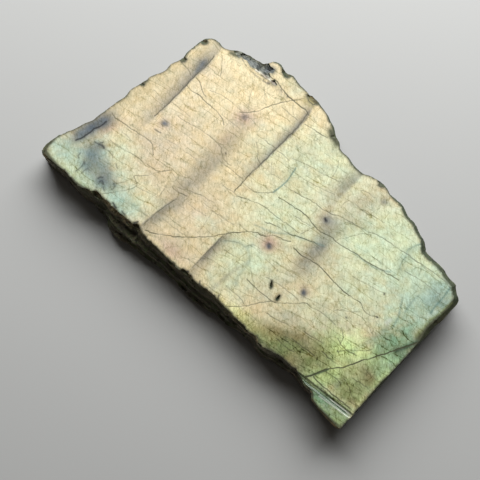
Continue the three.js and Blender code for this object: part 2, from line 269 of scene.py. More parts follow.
wall = bmesh.new()
wall.from_mesh(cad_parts["labradorite_slab"].data)
bmesh.ops.remove_doubles(wall, verts=wall.verts, dist=level_tolerance)
flat_faces = [
    face for face in wall.faces
    if all(at_height(vertex, face_height) for vertex in face.verts)
    or all(at_height(vertex, 0) for vertex in face.verts)
]
bmesh.ops.delete(wall, geom=flat_faces, context="FACES")
for _ in range(wall_cut_rounds):
    long_edges = [edge for edge in wall.edges if edge.calc_length() > wall_edge_limit]
    bmesh.ops.subdivide_edges(wall, edges=long_edges, cuts=1)
    bmesh.ops.triangulate(wall, faces=wall.faces)
broken_layer = wall.verts.layers.float.new("broken")
free_layer = wall.verts.layers.float.new("free")
for vertex in wall.verts:
    on_level = at_height(vertex, face_height) or at_height(vertex, 0)
    vertex[free_layer] = 0.0 if on_level else 1.0
    vertex[broken_layer] = roughness_at(vertex.co)
wall_mesh = bpy.data.meshes.new("wall")
wall.to_mesh(wall_mesh)
wall.free()
wall_piece = bpy.data.objects.new("wall", wall_mesh)
bpy.context.collection.objects.link(wall_piece)
wall_nodes = wall_tree(broken_stone)
roughened = wall_piece.modifiers.new("broken_wall", "NODES")
roughened.node_group = wall_nodes
wall_values = {"Ledge Length": ledge_length, "Ledge Height": ledge_height, "Ledge Relief": ledge_relief,
               "Grain Size": grain_size, "Grain Relief": grain_relief, "Seed": wall_seed, "Top": face_height}
for socket in wall_nodes.interface.items_tree:
    if socket.in_out == "INPUT" and socket.name in wall_values:
        roughened[socket.identifier] = wall_values[socket.name]
rough_wall = bpy.data.meshes.new_from_object(wall_piece.evaluated_get(bpy.context.evaluated_depsgraph_get()))
bpy.data.objects.remove(wall_piece)

# The polished face: ground flat and polished across the feldspar's thin inner layers, which throw back
# gold and green light. Cracks, cleavage lines and dark mineral spots show in it.
face_spacing = 0.38
face_net_shake = 0.3
net_tolerance = 1e-5
points_at_once = 4000
crack_step = 0.5
crack_wander = 0.22
crack_wander_length = 0.9
crack_fade_points = 6
crack_fade = 0.7
mean_crack = 1.05
faintest_crack = 0.5
darkest_crack = 1.3
crack_spread = 0.25
crack_reach = 1.0
crack_depth = 0.02
rim_clearance = 0.35
flaw_step = 0.13
flaw_steps = np.arange(-2, 3) * flaw_step
finest_free_stroke = 0.36
underside_spacing = 1.6
sawn_facing = 0.85
sharp_band = 0.35
face_seed = 5

# Left alone, the noise takes its seed from the clock, and no two runs agree.
noise.seed_set(face_seed)

# Each crack is a line of the photograph's pixels, after how dark it is, from 0 to 1. The face's own sizes
# above are in millimetres, as its net is.
cracks = {
    "long_dark_split": (1.0, [
        (300, 377), (305, 376.5), (312, 375), (320, 372), (328, 369), (336, 368), (343, 367),
        (350, 365), (357, 362.5), (364, 360), (370, 358.5), (377, 356), (388, 353), (396, 350),
        (402, 348), (410, 345), (417, 343)]),
    "left_end": (0.55, [
        (112, 113), (115, 118), (122, 122), (133, 130), (147.7, 139.6), (152.5, 146.3), (153.4, 155)]),
    "left_middle": (0.4, [(110, 140), (119.9, 147), (138, 157.7), (157, 171), (171.6, 170)]),
    "left_fork": (0.4, [(134, 176), (148.6, 175), (158, 172), (171.6, 170)]),
    "left_low": (0.4, [(102, 194), (108.4, 193), (121.8, 191), (136, 186.4), (134, 176)]),
    "left_low_fork": (0.35, [(136, 186.4), (144.8, 191), (157, 197)]),
    "left_short": (0.35, [(159, 196), (166.8, 185.5)]),
    "left_link": (0.35, [(171.6, 173), (179, 182.6), (185.7, 188.4), (204, 197), (215.4, 203.7)]),
    "middle_long": (0.6, [
        (144.8, 230.5), (157, 233.8), (180, 237), (205.8, 237), (220, 235), (235.5, 232.4),
        (255.6, 232.4), (262.3, 236), (275.7, 236), (283, 239.5), (291, 241.5)]),
    "middle_drop": (0.3, [(187.4, 232), (189, 239), (187, 253.5)]),
    "upper_dash_a": (0.4, [(220, 161.6), (229.7, 168.3), (242, 178.8)]),
    "upper_dash_b": (0.4, [(256.5, 134.8), (275.7, 148.2)]),
    "upper_hook": (0.45, [(242, 182), (245, 184.5), (254.6, 192), (268, 193), (273.8, 192.2)]),
    "upper_dash_c": (0.35, [(263, 166.4), (271.8, 174), (280.5, 178.8)]),
    "long_a": (0.5, [
        (284.3, 185.5), (299.6, 195), (314, 202.7), (327, 212), (341, 217), (353.6, 223.7),
        (367, 231.3), (378.4, 235.6), (390, 243), (400, 250), (407, 254), (413, 259), (420, 263),
        (430, 270), (437, 275), (445, 282), (450, 288)]),
    "long_b": (0.65, [
        (278.5, 197), (293, 206.5), (305.3, 215), (314, 225.7), (322.5, 233), (331.6, 237),
        (338.3, 243.3), (353.6, 252.4), (367, 262), (381.3, 270), (398.5, 280)]),
    "long_c": (0.5, [
        (237.4, 196), (253.7, 201.7), (262.3, 205.6), (275.7, 216), (288, 224.7), (297.7, 232.4)]),
    "short_c": (0.4, [(294.8, 216), (303.4, 221.8), (311, 226.6)]),
    "tie_c": (0.35, [(300.5, 234.3), (313, 227.6)]),
    "long_d": (0.55, [(265, 222), (276, 226), (290, 234.3), (301.5, 238), (316.8, 243.8)]),
    "dash_d": (0.4, [(212.5, 211), (224, 219), (233.6, 224.7)]),
    "dash_e": (0.45, [(239, 224.5), (247, 231)]),
    "wavy_e": (0.35, [
        (225, 240.5), (233.6, 241.5), (241, 243.8), (245, 247), (252.7, 244.8), (260.4, 249)]),
    "dash_f": (0.35, [(224, 250.5), (237.4, 258), (245, 262)]),
    "dash_g": (0.4, [(265, 259), (275.7, 268.7)]),
    "long_h": (0.7, [
        (294, 247.7), (301.5, 255.3), (312, 261), (321.6, 268.7), (331.6, 279), (343, 290.6),
        (350.7, 296.4), (361, 303)]),
    "tie_h": (0.35, [(336, 240.4), (353.6, 236), (361, 234), (370.8, 235)]),
    "dash_i": (0.35, [(370.8, 256), (384, 264.8), (391, 270.5)]),
    "dash_j": (0.4, [(356.4, 204.5), (363, 211), (376.5, 218), (384, 222.7)]),
    "dash_k": (0.35, [(360, 190), (367, 192), (375, 198)]),
    "right_tie": (0.35, [(420, 259), (421, 267), (419, 275)]),
    "right_low": (0.4, [(404, 271), (412, 275), (420, 280), (430, 287), (440, 295)]),
    "low_long": (0.5, [
        (226.7, 306.7), (245.8, 305.7), (266, 302), (281, 303.3), (294.6, 303.8), (306, 303),
        (311.8, 307.7), (321.4, 312.4), (334.8, 325)]),
    "low_slant": (0.6, [(247, 279), (258.7, 290.8), (270, 299.4), (276, 303)]),
    "top_fork_a": (0.5, [(181, 62), (185, 66), (189, 71), (191, 75)]),
    "top_fork_b": (0.55, [(196, 77), (200, 83), (202, 91), (206, 97)]),
    "top_long": (0.6, [
        (187, 85), (192, 91), (200, 96), (207, 103), (213, 108), (218, 113), (222, 118), (224, 125)]),
    "top_dash_a": (0.4, [(171, 102), (178, 107), (185, 112), (190, 117)]),
    "top_dash_b": (0.35, [(154, 90), (160, 96)]),
    "top_dash_c": (0.35, [(210, 90), (225, 97), (238, 108), (243, 112)]),
    "top_rise": (0.55, [
        (240, 112), (246, 113), (258, 111), (270, 106), (280, 103), (290, 101), (300, 99.5), (308, 96)]),
    "top_dash_d": (0.4, [(222, 115), (231, 122), (240, 129)]),
    "top_thread": (0.4, [(222, 55), (222, 68), (220, 76)]),
    "top_thread_b": (0.35, [(254, 85), (251, 94), (248, 108)]),
    "top_thread_c": (0.3, [(264, 87), (265, 95), (262, 104)]),
    "far_thread": (0.3, [(293, 103), (293, 114)]),
    "far_dash": (0.4, [(282, 107), (290, 114), (297, 120)]),
    "far_dash_b": (0.55, [(305, 124), (313, 129), (320, 134), (328, 138)]),
    "tip_dash": (0.45, [(365, 370), (371, 375), (376, 380)]),
    "upper_long": (0.4, [(178, 116), (188, 123), (198, 128), (208, 135), (216, 142), (222, 148)]),
    "upper_long_b": (0.4, [(222, 148), (221, 153), (224, 160), (231, 166)]),
    "left_dash_b": (0.35, [(112, 184), (120, 183), (128, 180.5), (134, 177)]),
    "left_dash_c": (0.3, [(122, 132), (128, 137), (133, 142)]),
    "left_dash_d": (0.3, [(166, 139), (176, 145), (187, 153), (197, 160)]),
    "left_hook": (0.5, [(172, 186), (175, 190), (180, 193), (187, 196)]),
    "upper_scratch": (0.45, [(154.5, 129.5), (161, 133)]),
    "upper_stem": (0.45, [(256, 142), (258, 150), (257.5, 158), (262, 166)]),
    "upper_stem_b": (0.35, [(272, 162), (271, 168), (271.5, 174)]),
    "dash_l": (0.4, [(277, 151), (284, 155), (289, 161)]),
    "long_e": (0.4, [(292, 158), (303, 163), (318, 171), (331, 178), (343, 183)]),
    "long_f": (0.35, [(298, 176), (309, 182), (322, 189), (334, 194)]),
    "right_stem": (0.35, [(339, 160), (337, 168), (333, 177)]),
    "right_stem_b": (0.4, [(341, 208), (343, 204), (348, 201)]),
    "dash_m": (0.35, [(222, 185), (230, 190), (237, 195)]),
    "dash_n": (0.3, [(188, 204), (197, 210), (206, 216)]),
    "rise_b": (0.3, [(213, 206), (211, 214), (206, 222), (201, 229)]),
    "left_low_diag": (0.35, [(163, 219), (172, 226), (180, 232), (187, 237)]),
    "stem_c": (0.3, [(250, 268), (252, 275), (253, 282)]),
    "low_dash_a": (0.4, [(226, 286), (233, 292), (240, 298), (246, 306)]),
    "dash_p": (0.4, [(266, 277), (278, 284), (289, 292), (299, 301)]),
    "low_dash_b": (0.45, [(266, 313), (276, 319), (288, 325), (298, 331)]),
    "low_dash_c": (0.35, [(244, 311), (252, 316), (258, 323)]),
    "olive_dash_a": (0.6, [(292, 339), (303, 347), (315, 356)]),
    "olive_dash_b": (0.5, [(276, 338), (285, 347), (294, 352)]),
    "olive_dash_c": (0.5, [(304, 331), (312, 337), (323, 343)]),
    "lime_dash_a": (0.55, [(322, 351), (329, 358), (338, 365)]),
    "lime_dash_b": (0.5, [(324, 371), (333, 376), (340, 383)]),
    "lime_curve": (0.5, [(338, 339), (343, 347), (350, 352), (357, 356)]),
    "lime_bar": (0.45, [(337, 351), (347, 350.5), (358, 351), (372, 350)]),
    "lime_stem": (0.45, [(342, 328), (343, 337), (340, 345)]),
    "tip_line_a": (0.5, [(352, 378), (362, 384), (371, 391)]),
    "tip_line_b": (0.45, [(341, 397), (352, 403), (361, 409)]),
    "tip_line_c": (0.5, [(344, 379), (349, 387), (351, 396)]),
    "right_dash_c": (0.35, [(352, 276), (364, 283), (376, 289), (386, 294)]),
    "right_curve": (0.5, [(361, 303), (364, 310), (369, 315), (377, 317)]),
    "right_stem_c": (0.35, [(368, 318), (369, 326), (372, 334)]),
    "low_wavy": (0.35, [(334, 311), (342, 310), (350, 312), (360, 312)]),
    "corner_line": (0.4, [(424, 243), (433, 254), (441, 264)]),
    "corner_line_b": (0.35, [(404, 252), (414, 260), (424, 267), (434, 276)]),
    "band_line_a": (0.65, [
        (214, 56), (205, 67), (197, 74), (189, 82), (182, 90), (173, 99), (164, 108), (155, 116)]),
    "band_line_b": (0.45, [(176, 199), (166, 206), (157, 212), (149, 219), (143, 224)]),
    "band_line_c": (0.6, [
        (308, 113), (301, 123), (293, 132), (284, 141), (276, 149), (268, 157), (259, 166), (250, 174),
        (243, 182), (234, 192)]),
    "band_line_d": (0.4, [(223, 236), (214, 245), (203, 256), (192, 268)]),
    "band_line_e": (0.35, [(217, 243), (206, 253), (197, 263)]),
    "groove_line": (0.8, [
        (314, 376), (316, 380), (322, 385), (328, 390), (334, 396), (342, 402), (350, 409)]),
    "trench_line": (0.9, [(258, 67), (265, 71), (270, 76)]),
    "trench_split": (0.9, [
        (270, 76), (277, 82), (283, 90), (288, 96), (294, 101), (300, 106), (306, 111), (309, 115)]),
}


# Small dark flaws under the polish, as short strokes. Each has its strength and its breadth in millimetres.
flaws = {
    "streak": (1.0, 0.22, [
        (76, 140), (80, 138.5), (84, 136.5), (90, 132.5), (94, 129), (100, 126.5), (106, 121.5)]),
    "hook": (0.6, 0.22, [(79, 158), (78, 155.5), (80, 153)]),
    "left_dot_a": (0.6, 0.3, [(84, 162), (84.5, 164)]),
    "left_dot_b": (0.8, 0.35, [(99, 144.5), (102, 145.5), (104, 148)]),
    "left_dot_c": (0.7, 0.22, [(98, 178), (100.5, 177), (103, 177.5)]),
    "left_dot_h": (0.6, 0.2, [(99.5, 182), (102, 180.5), (103.5, 184)]),
    "left_dot_d": (0.5, 0.25, [(96, 187), (97, 188)]),
    "left_dot_e": (0.6, 0.25, [(103, 187), (104, 190)]),
    "left_dot_f": (0.6, 0.25, [(114, 183), (114.5, 186)]),
    "left_dot_g": (0.5, 0.2, [(116, 164), (117, 168)]),
    "left_line": (0.5, 0.18, [(88, 168), (84, 171), (81, 174)]),
    "spot_core_b": (0.95, 0.32, [(325.4, 218.6), (326, 220.6)]),
    "spot_core_c": (0.25, 0.5, [(268, 244), (269.5, 247)]),
    "spot_core_d": (0.35, 0.45, [(303.3, 290.5), (304.2, 294)]),
    "spot_core_e": (0.4, 0.3, [(244, 118), (245, 120)]),
    "dot_a": (0.8, 0.22, [(384, 293.5), (384.4, 294.5)]),
    "dot_b": (0.9, 0.22, [(377, 317), (378, 317.2)]),
    "dot_c": (0.7, 0.22, [(346, 317), (346.5, 318)]),
    "dot_d": (0.6, 0.2, [(338, 351), (338.5, 352)]),
    "dot_e": (0.7, 0.2, [(225.5, 153), (226, 154)]),
    "dot_f": (0.5, 0.2, [(277, 270), (277.5, 271)]),
    "small_scar": (0.5, 0.2, [(155, 129), (160, 133)]),
    "left_mark_a": (0.6, 0.2, [(76, 171), (80, 168), (83, 164)]),
    "left_mark_b": (0.7, 0.2, [(95, 142), (99, 144), (103, 142)]),
    "left_mark_c": (0.4, 0.18, [(108, 150), (111, 153), (113, 158)]),
    "left_mark_e": (0.4, 0.2, [(112, 190), (115, 187), (116, 183)]),
    "rim_spike_a": (0.9, 0.3, [(113, 203), (116, 208)]),
    "rim_spike_b": (0.8, 0.25, [(122, 211), (125, 215)]),
    "rim_spike_c": (0.9, 0.3, [(134, 223), (138, 222)]),
    "rim_spike_d": (0.9, 0.3, [(186, 276), (188, 271)]),
    "rim_spike_e": (0.8, 0.25, [(199, 286), (200, 281)]),
    "rim_spike_f": (0.8, 0.3, [(217, 301), (219, 295)]),
}


def on_face(pixels):
    """Where the camera's rays through these pixels of the photograph meet the face, in millimetres."""
    pixels = np.asarray(pixels, float).reshape(-1, 2)
    across = (pixels[:, :1] - picture_middle) / focal_pixels
    upward = (picture_middle - pixels[:, 1:]) / focal_pixels
    rays = across * np.array(camera_right) + upward * np.array(camera_up) - np.array(camera_back)
    start = np.array(camera.location)
    reach = (face_height - start[2]) / rays[:, 2:]
    return (start + reach * rays)[:, :2] / MM


def smooth_line(pixels, step=crack_step):
    """A smooth curve through these pixels, in millimetres on the face, set out at an even step."""
    corners = on_face(pixels)
    points = []
    for index in range(len(corners) - 1):
        before = corners[max(index - 1, 0)]
        start, end = corners[index], corners[index + 1]
        after = corners[min(index + 2, len(corners) - 1)]
        count = max(1, round(float(np.linalg.norm(end - start)) / step))
        for t in np.arange(count) / count:
            points.append(0.5 * (
                2 * start + (end - before) * t
                + (2 * before - 5 * start + 4 * end - after) * t ** 2
                + (3 * start - before - 3 * end + after) * t ** 3
            ))
    points.append(corners[-1])
    return np.array(points)


def wobble(points, length, seed, reach):
    """A smooth random shift of each point, up to reach, that changes over the given length."""
    shifts = [noise.noise_vector(Vector((x / length, y / length, seed))) for x, y in points]
    return np.array([(shift.x, shift.y) for shift in shifts]) * reach


def nearest_on_line(points, line, strengths, reach):
    """Each point's distance from a line, its side, 1 left of the line's way, and the strength there."""
    distance = np.full(len(points), np.inf)
    side = np.zeros(len(points))
    strength = np.zeros(len(points))
    in_box = np.all((points > line.min(axis=0) - reach) & (points < line.max(axis=0) + reach), axis=1)
    near = np.flatnonzero(in_box)
    ways = np.diff(line, axis=0)
    gaps = points[near, None] - line[:-1]
    parts = np.clip((gaps * ways).sum(axis=2) / (ways ** 2).sum(axis=1), 0, 1)
    offsets = gaps - parts[..., None] * ways
    lengths = np.linalg.norm(offsets, axis=2)
    best = lengths.argmin(axis=1)
    rows = np.arange(len(near))
    offset = offsets[rows, best]
    distance[near] = lengths[rows, best]
    side[near] = np.sign(ways[best, 0] * offset[:, 1] - ways[best, 1] * offset[:, 0])
    strength[near] = strengths[best] + (strengths[best + 1] - strengths[best]) * parts[rows, best]
    return distance, side, strength


def is_inside(points, starts, ends):
    """Whether each point is inside the loops whose edges run from starts to ends."""
    rise = ends[:, 1] - starts[:, 1]
    slope = (ends[:, 0] - starts[:, 0]) / np.where(rise == 0, 1, rise)
    found = np.zeros(len(points), bool)
    for first in range(0, len(points), points_at_once):
        part = slice(first, first + points_at_once)
        x, y = points[part, :1], points[part, 1:]
        crossed = (starts[:, 1] > y) != (ends[:, 1] > y)
        before = x < starts[:, 0] + (y - starts[:, 1]) * slope
        found[part] = (crossed & before).sum(axis=1) % 2 == 1
    return found


def flat_net(mesh, height, spacing, lines, extra):
    """A flat net of triangles that fills the wall's open loops at a height.

    It has the lines among its edges and the extra points among its corners.
    """
    rim_edges = [
        edge for edge in mesh.edges
        if edge.is_boundary and all(at_height(vertex, height) for vertex in edge.verts)
    ]
    starts = np.array([edge.verts[0].co.xy[:] for edge in rim_edges]) / MM
    ends = np.array([edge.verts[1].co.xy[:] for edge in rim_edges]) / MM
    rim = {tuple(point): number for number, point in enumerate(dict.fromkeys(map(tuple, [*starts, *ends])))}
    pairs = [(rim[tuple(a)], rim[tuple(b)]) for a, b in zip(starts, ends)]
    low, high = starts.min(axis=0), starts.max(axis=0)
    row_gap = spacing * math.sqrt(3) / 2
    grid = np.array([
        (x + (number % 2) * spacing / 2, y)
        for number, y in enumerate(np.arange(low[1], high[1], row_gap))
        for x in np.arange(low[0], high[0], spacing)
    ])
    grid += wobble(grid, spacing, face_seed, spacing * face_net_shake)
    grid = np.concatenate([grid, extra])
    grid = grid[is_inside(grid, starts, ends)]
    points = [np.array(list(rim)), grid]
    count = len(rim) + len(grid)
    for line in lines:
        kept = is_inside(line, starts, ends) & (gap_to_edges(line, starts, ends) > rim_clearance)
        for number in range(len(line) - 1):
            if kept[number] and kept[number + 1]:
                pairs.append((count + number, count + number + 1))
        points.append(line)
        count += len(line)
    corners = [Vector(point) for point in np.concatenate(points)]
    flat = delaunay_2d_cdt(corners, pairs, [], 0, net_tolerance, False)
    places = np.array([point[:] for point in flat[0]])
    triangles = np.array(flat[2])
    kept = is_inside(places[triangles].mean(axis=1), starts, ends)
    return places, triangles[kept], starts


def gap_to_edges(points, starts, ends):
    """How far each point is from the nearest of the edges."""
    ways = ends - starts
    gaps = points[:, None] - starts
    parts = np.clip((gaps * ways).sum(axis=2) / np.maximum((ways ** 2).sum(axis=1), 1e-12), 0, 1)
    return np.linalg.norm(gaps - parts[..., None] * ways, axis=2).min(axis=1)


def beside(line, shift):
    """The line moved sideways by a distance."""
    ways = np.gradient(line, axis=0)
    ways /= np.linalg.norm(ways, axis=1)[:, None]
    return line + np.stack([-ways[:, 1], ways[:, 0]], axis=1) * shift


# Where the layers bend, a band looks grey. Each band has its left and its right softness in millimetres,
# as seen going along it, and its places in the photograph's pixels, each with how grey it is there.
bands = {
    "top_left": (0.35, 3.2, [
        (219, 51, 0.7), (211, 60, 0.95), (205, 67, 1.0), (197, 74, 1.0), (189, 82, 1.0),
        (182, 90, 0.95), (173, 99, 0.85), (163, 109, 0.7), (153, 118, 0.45), (141, 128, 0.2)]),
    "middle": (1.8, 2.4, [
        (243, 130, 0.2), (232, 146, 0.4), (215, 163, 0.7), (198, 180, 0.7), (186, 188, 0.5)]),
    "middle_low": (2.2, 0.25, [
        (180, 196, 0.4), (173.5, 200, 0.8), (161, 209, 1.1), (152.5, 216, 1.0), (142, 224, 0.8)]),
    "top_right": (0.25, 1.8, [
        (313, 106, 0.75), (306, 119, 1.0), (302, 123, 1.1), (296, 130, 1.1), (289, 137, 1.0),
        (276, 149, 0.9), (263, 162, 0.75), (251, 172, 0.6), (242, 183, 0.4), (232, 193, 0.1)]),
    "right": (0.45, 2.6, [
        (363, 173, 0.7), (357, 179, 0.8), (350, 186, 0.8), (342, 194, 0.7), (336, 202, 0.5),
        (332, 212, 0.4)]),
    "right_low": (2.0, 2.2, [
        (338, 226, 0.5), (329, 236, 0.7), (316, 250, 0.95), (305, 262, 0.85), (297, 275, 0.35)]),
    "low": (2.0, 0.3, [(223, 236, 0.8), (210, 249, 1.0), (200, 260, 0.9), (190, 270, 0.5)]),
    "low_thin": (0.5, 0.5, [(248, 262, 0.3), (235, 270, 0.45), (222, 280, 0.5), (212, 290, 0.3)]),
    "tip": (0.4, 1.2, [(352, 368, 0.1), (345, 378, 0.4), (338, 386, 0.5)]),
}


# Fine lines of their own colour: teal ones that shine in the stone, dark and stained stretches of the rim,
# and rubble and slivers of the trench. Others are painted light: painted shade on the groove's floor, painted
# highlights along its edges and on one spot, and painted highlights on polished bevels of the wall. They are
# given as the flaws are.
strokes = {
    "teal": {
        "check_mark": (0.8, 0.25, [(273.8, 192), (283.3, 184.5), (288, 179.7), (295.8, 168)]),
        "check_mark_glow": (0.25, 1.0, [(283.3, 184.5), (288, 179.7), (296, 166), (301, 155)]),
        "right_hook": (0.55, 0.3, [
            (424, 243), (415, 246), (408, 250), (406, 256), (402, 262), (400, 266), (401, 270)]),
        "right_hook_glow": (0.3, 1.2, [(415, 247), (407, 254), (402, 262), (400, 270)]),
        "corner": (0.7, 0.25, [(450, 288), (445, 295), (440, 301), (434, 308), (431, 313)]),
        "low_right": (0.45, 0.28, [(402, 300), (400, 310), (398, 318), (394, 325), (391, 329)]),
        "low_right_b": (0.4, 0.3, [(418, 296), (411, 303), (405, 312)]),
        "middle": (0.4, 0.3, [
            (255, 225), (268, 230.5), (275.7, 233), (290, 234.3), (301.5, 238), (323.5, 245.8)]),
        "middle_low": (0.3, 0.6, [
            (225, 240.5), (233.6, 241.5), (241, 243.8), (246, 247), (252.7, 244.8)]),
        "middle_fall": (0.3, 0.5, [(247, 248), (250, 258), (247, 266), (239, 274), (236, 284)]),
        "right_long": (0.45, 0.28, [(353.6, 252.4), (367, 263), (378, 269), (390, 272)]),
        "inner_fold": (0.3, 0.7, [(352, 352), (362, 346), (375, 338), (388, 328)]),
        "left_low": (0.3, 0.6, [(128, 202), (138, 208), (145, 214)]),
    },
    "split_and_groove_shade": {
        "split_end": (0.9, 0.6, [(396, 351), (404, 348), (411, 345), (417, 342)]),
        "split_start": (0.9, 0.32, [
            (299, 376.5), (305, 376.8), (312, 375.2), (320, 372.4), (328, 369.5)]),
        # Painted shade on the floor and at the start of the groove, a recess. The split strokes above are its
        # own dark colour.
        "groove_floor": (1.0, 0.48, [
            (304, 381), (312, 388), (320, 394), (328, 400), (336, 405.8), (343, 411), (349, 415.5)]),
        "groove_start": (0.8, 0.6, [(298, 374), (303, 379), (309, 384)]),
    },
    "sliver_and_painted_highlight": {
        # Painted highlights along the groove's two edges and on one spot. The sliver is the stone's own pale
        # colour.
        "groove_top": (0.9, 0.13, [(330, 399), (337, 404.3), (344, 409.5), (351, 414.5)]),
        "groove_bottom": (0.6, 0.12, [(319, 396), (326, 401.2), (334, 407), (341, 412.2), (348, 417.4)]),
        "sliver": (0.6, 0.22, [(256, 70), (262, 73.5), (268, 78), (275, 84)]),
        "bright_spot": (0.5, 0.6, [(387, 323), (390, 320)]),
    },
    "rubble": {
        "trench": (1.0, 1.5, [(241, 56), (248, 61), (256, 66), (264, 70), (272, 76)]),
        "trench_end": (0.9, 0.7, [(272, 80), (277, 85)]),
        "corner": (1.0, 0.9, [(267, 66), (273, 69)]),
    },
    "blue_rubble": {
        "trench": (0.6, 0.8, [(245, 58), (253, 62), (261, 67)]),
        "corner": (0.9, 1.0, [(267, 69), (273, 68)]),
    },
    "shade": {
        "far_bend": (0.45, 0.42, [
            (309, 112), (303, 119), (297, 128), (289, 136), (281, 144), (274, 151)]),
        "far_bend_low": (0.5, 0.32, [(274, 151), (266, 159), (257, 168), (249, 176)]),
        "left_bend": (0.5, 0.35, [(207, 62), (203, 67), (197, 73), (190, 80), (183, 88)]),
        "left_bend_low": (0.35, 0.3, [(183, 88), (174, 97), (165, 106)]),
        "low_bend": (0.4, 0.4, [(220, 240), (211, 250), (202, 260)]),
    },
    "grit": {
        "trench_end": (0.9, 0.5, [(268, 83), (273, 86), (277, 89)]),
        "trench_tail": (0.8, 0.4, [(281, 90), (285, 94), (288, 97)]),
        "trench_spot": (1.0, 0.35, [(261, 79), (263, 79.5)]),
        "trench_rim": (0.75, 0.22, [
            (242, 58), (244, 63), (248, 68), (253, 73), (258, 77), (262, 80), (268, 84)]),
        "trench_inner": (0.5, 0.2, [(249, 64), (253, 68), (258, 73), (264, 77), (270, 82)]),
        "trench_low": (0.3, 0.6, [(272, 86), (278, 90), (284, 96)]),
    },
    "moss": {
        "left_rim": (1.0, 0.6, [
            (52, 141), (47.5, 145), (45.5, 150), (48.5, 156), (52.5, 160.5), (57, 166.5),
            (64.5, 174.5), (72.5, 181), (83, 189), (92, 196)]),
        "notch": (1.0, 0.8, [(94, 197), (98, 199), (101, 203)]),
        "near_rim": (0.85, 0.4, [
            (134, 227), (150, 243), (165, 257), (180, 270), (196, 284), (212, 297), (228, 311)]),
        "low_rim": (0.6, 0.35, [(228, 311), (243, 326), (256, 337), (270, 349), (285, 361), (298, 374)]),
        "far_chip": (1.0, 1.0, [(330.5, 131), (333, 137), (337, 144)]),
        "right_rim": (0.9, 0.8, [(418, 338), (424, 332), (431, 324), (438, 318)]),
        "corner_rim": (0.7, 0.4, [(440, 316), (447, 309), (453, 302)]),
        "chip_a": (0.9, 0.5, [(144, 83), (147, 81)]),
        "chip_b": (0.9, 0.5, [(182, 60.5), (184, 58)]),
        "chip_c": (0.8, 0.5, [(204, 43.5), (207, 42.5)]),
        "chip_d": (0.95, 0.4, [(379, 185), (381, 186)]),
        "trench_start": (1.0, 0.6, [(231, 53), (235, 55), (240, 56)]),
        "tip_rim": (0.8, 0.3, [(312, 401), (318, 408), (326, 415), (334, 422), (341, 427)]),
    },
    "fern": {
        "right_rim": (0.8, 0.35, [(451, 303), (445, 309), (438, 315), (430, 320)]),
        "right_low_rim": (0.7, 0.4, [(428, 323), (422, 330), (416, 336)]),
        "left_rim": (0.35, 0.3, [(62, 164), (70, 172), (78, 180), (87, 187), (93, 192)]),
        "tip_rim": (0.5, 0.3, [(314, 399), (320, 406), (328, 413)]),
    },
    "ochre": {
        "far_chip": (0.95, 1.0, [(305, 100), (308, 101), (311, 104)]),
        "tip_corner": (0.35, 0.5, [(353, 403), (355, 407)]),
    },
    "bevel_highlight": {
        # Painted highlights where polished bevels of the wall catch the light.
        "low_wall": (0.7, 0.9, [(262, 345), (272, 353), (283, 361), (293, 370)]),
        "tip_shoulder": (0.35, 0.5, [(311, 393), (313, 397)]),
    },
    "flaw": flaws,
}


slab = bmesh.new()
slab.from_mesh(rough_wall)
crack_lines = {}
for number, (name, (darkness, pixels)) in enumerate(cracks.items()):
    line = smooth_line(pixels)
    line += wobble(line, crack_wander_length, number, crack_wander)
    spots_along = np.arange(len(line)) / crack_fade_points
    fade = np.array([noise.noise(Vector((spot, number, face_seed))) for spot in spots_along])
    strengths = darkness * np.clip(mean_crack + fade * crack_fade, faintest_crack, darkest_crack)
    crack_lines[name] = (line, strengths)
net_lines = [
    beside(line, shift) for line, _ in crack_lines.values() for shift in (-crack_spread, 0, crack_spread)
]
mark_points = []
for left_softness, right_softness, stations in bands.values():
    line = smooth_line([station[:2] for station in stations])
    if min(left_softness, right_softness) < sharp_band:
        mark_points += [beside(line, shift) for shift in (-sharp_band, 0, sharp_band)]
fine_strokes = [
    stroke for lines in strokes.values() for stroke in lines.values() if stroke[1] < finest_free_stroke
]
for _, _, pixels in fine_strokes:
    middle = smooth_line(pixels, flaw_step)
    mark_points.append(np.concatenate([middle + (x, y) for x in flaw_steps for y in flaw_steps]))
mark_points = np.unique(np.round(np.concatenate(mark_points) / flaw_step) * flaw_step, axis=0)
face_places, face_triangles, face_rim = flat_net(slab, face_height, face_spacing, net_lines, mark_points)
under_places, under_triangles, _ = flat_net(slab, 0, underside_spacing, [], np.zeros((0, 2)))


def add_net(mesh, places, triangles, height, slot, upward):
    """Adds a flat net to the mesh at a height, facing up or down, in a material slot."""
    made = {}
    for number in np.unique(triangles):
        x, y = places[number] * MM
        made[number] = mesh.verts.new((x, y, height))
    for a, b, c in triangles:
        corners = (made[a], made[b], made[c])
        (ax, ay), (bx, by), (cx, cy) = places[a], places[b], places[c]
        anticlockwise = (bx - ax) * (cy - ay) - (by - ay) * (cx - ax) > 0
        face = mesh.faces.new(corners if anticlockwise == upward else corners[::-1])
        face.material_index = slot


slab.normal_update()
for face in slab.faces:
    middle = face.calc_center_median()
    if in_groove(middle):
        face.material_index = polished_slot
    elif middle.x > sawn_end_start and face.normal.x > sawn_facing:
        face.material_index = sawn_slot
add_net(slab, face_places, face_triangles, face_height, polished_slot, True)
add_net(slab, under_places, under_triangles, 0, sawn_slot, False)
level_verts = [vertex for vertex in slab.verts if at_height(vertex, face_height) or at_height(vertex, 0)]
bmesh.ops.remove_doubles(slab, verts=level_verts, dist=weld_reach)
slab_mesh = bpy.data.meshes.new("labradorite")
slab.to_mesh(slab_mesh)
slab.free()
for material in slab_materials:
    slab_mesh.materials.append(material)

points = np.zeros(len(slab_mesh.vertices) * 3)
slab_mesh.vertices.foreach_get("co", points)
points = points.reshape(-1, 3)
flat_points = points[:, :2] / MM
on_top = points[:, 2] > face_height - level_tolerance

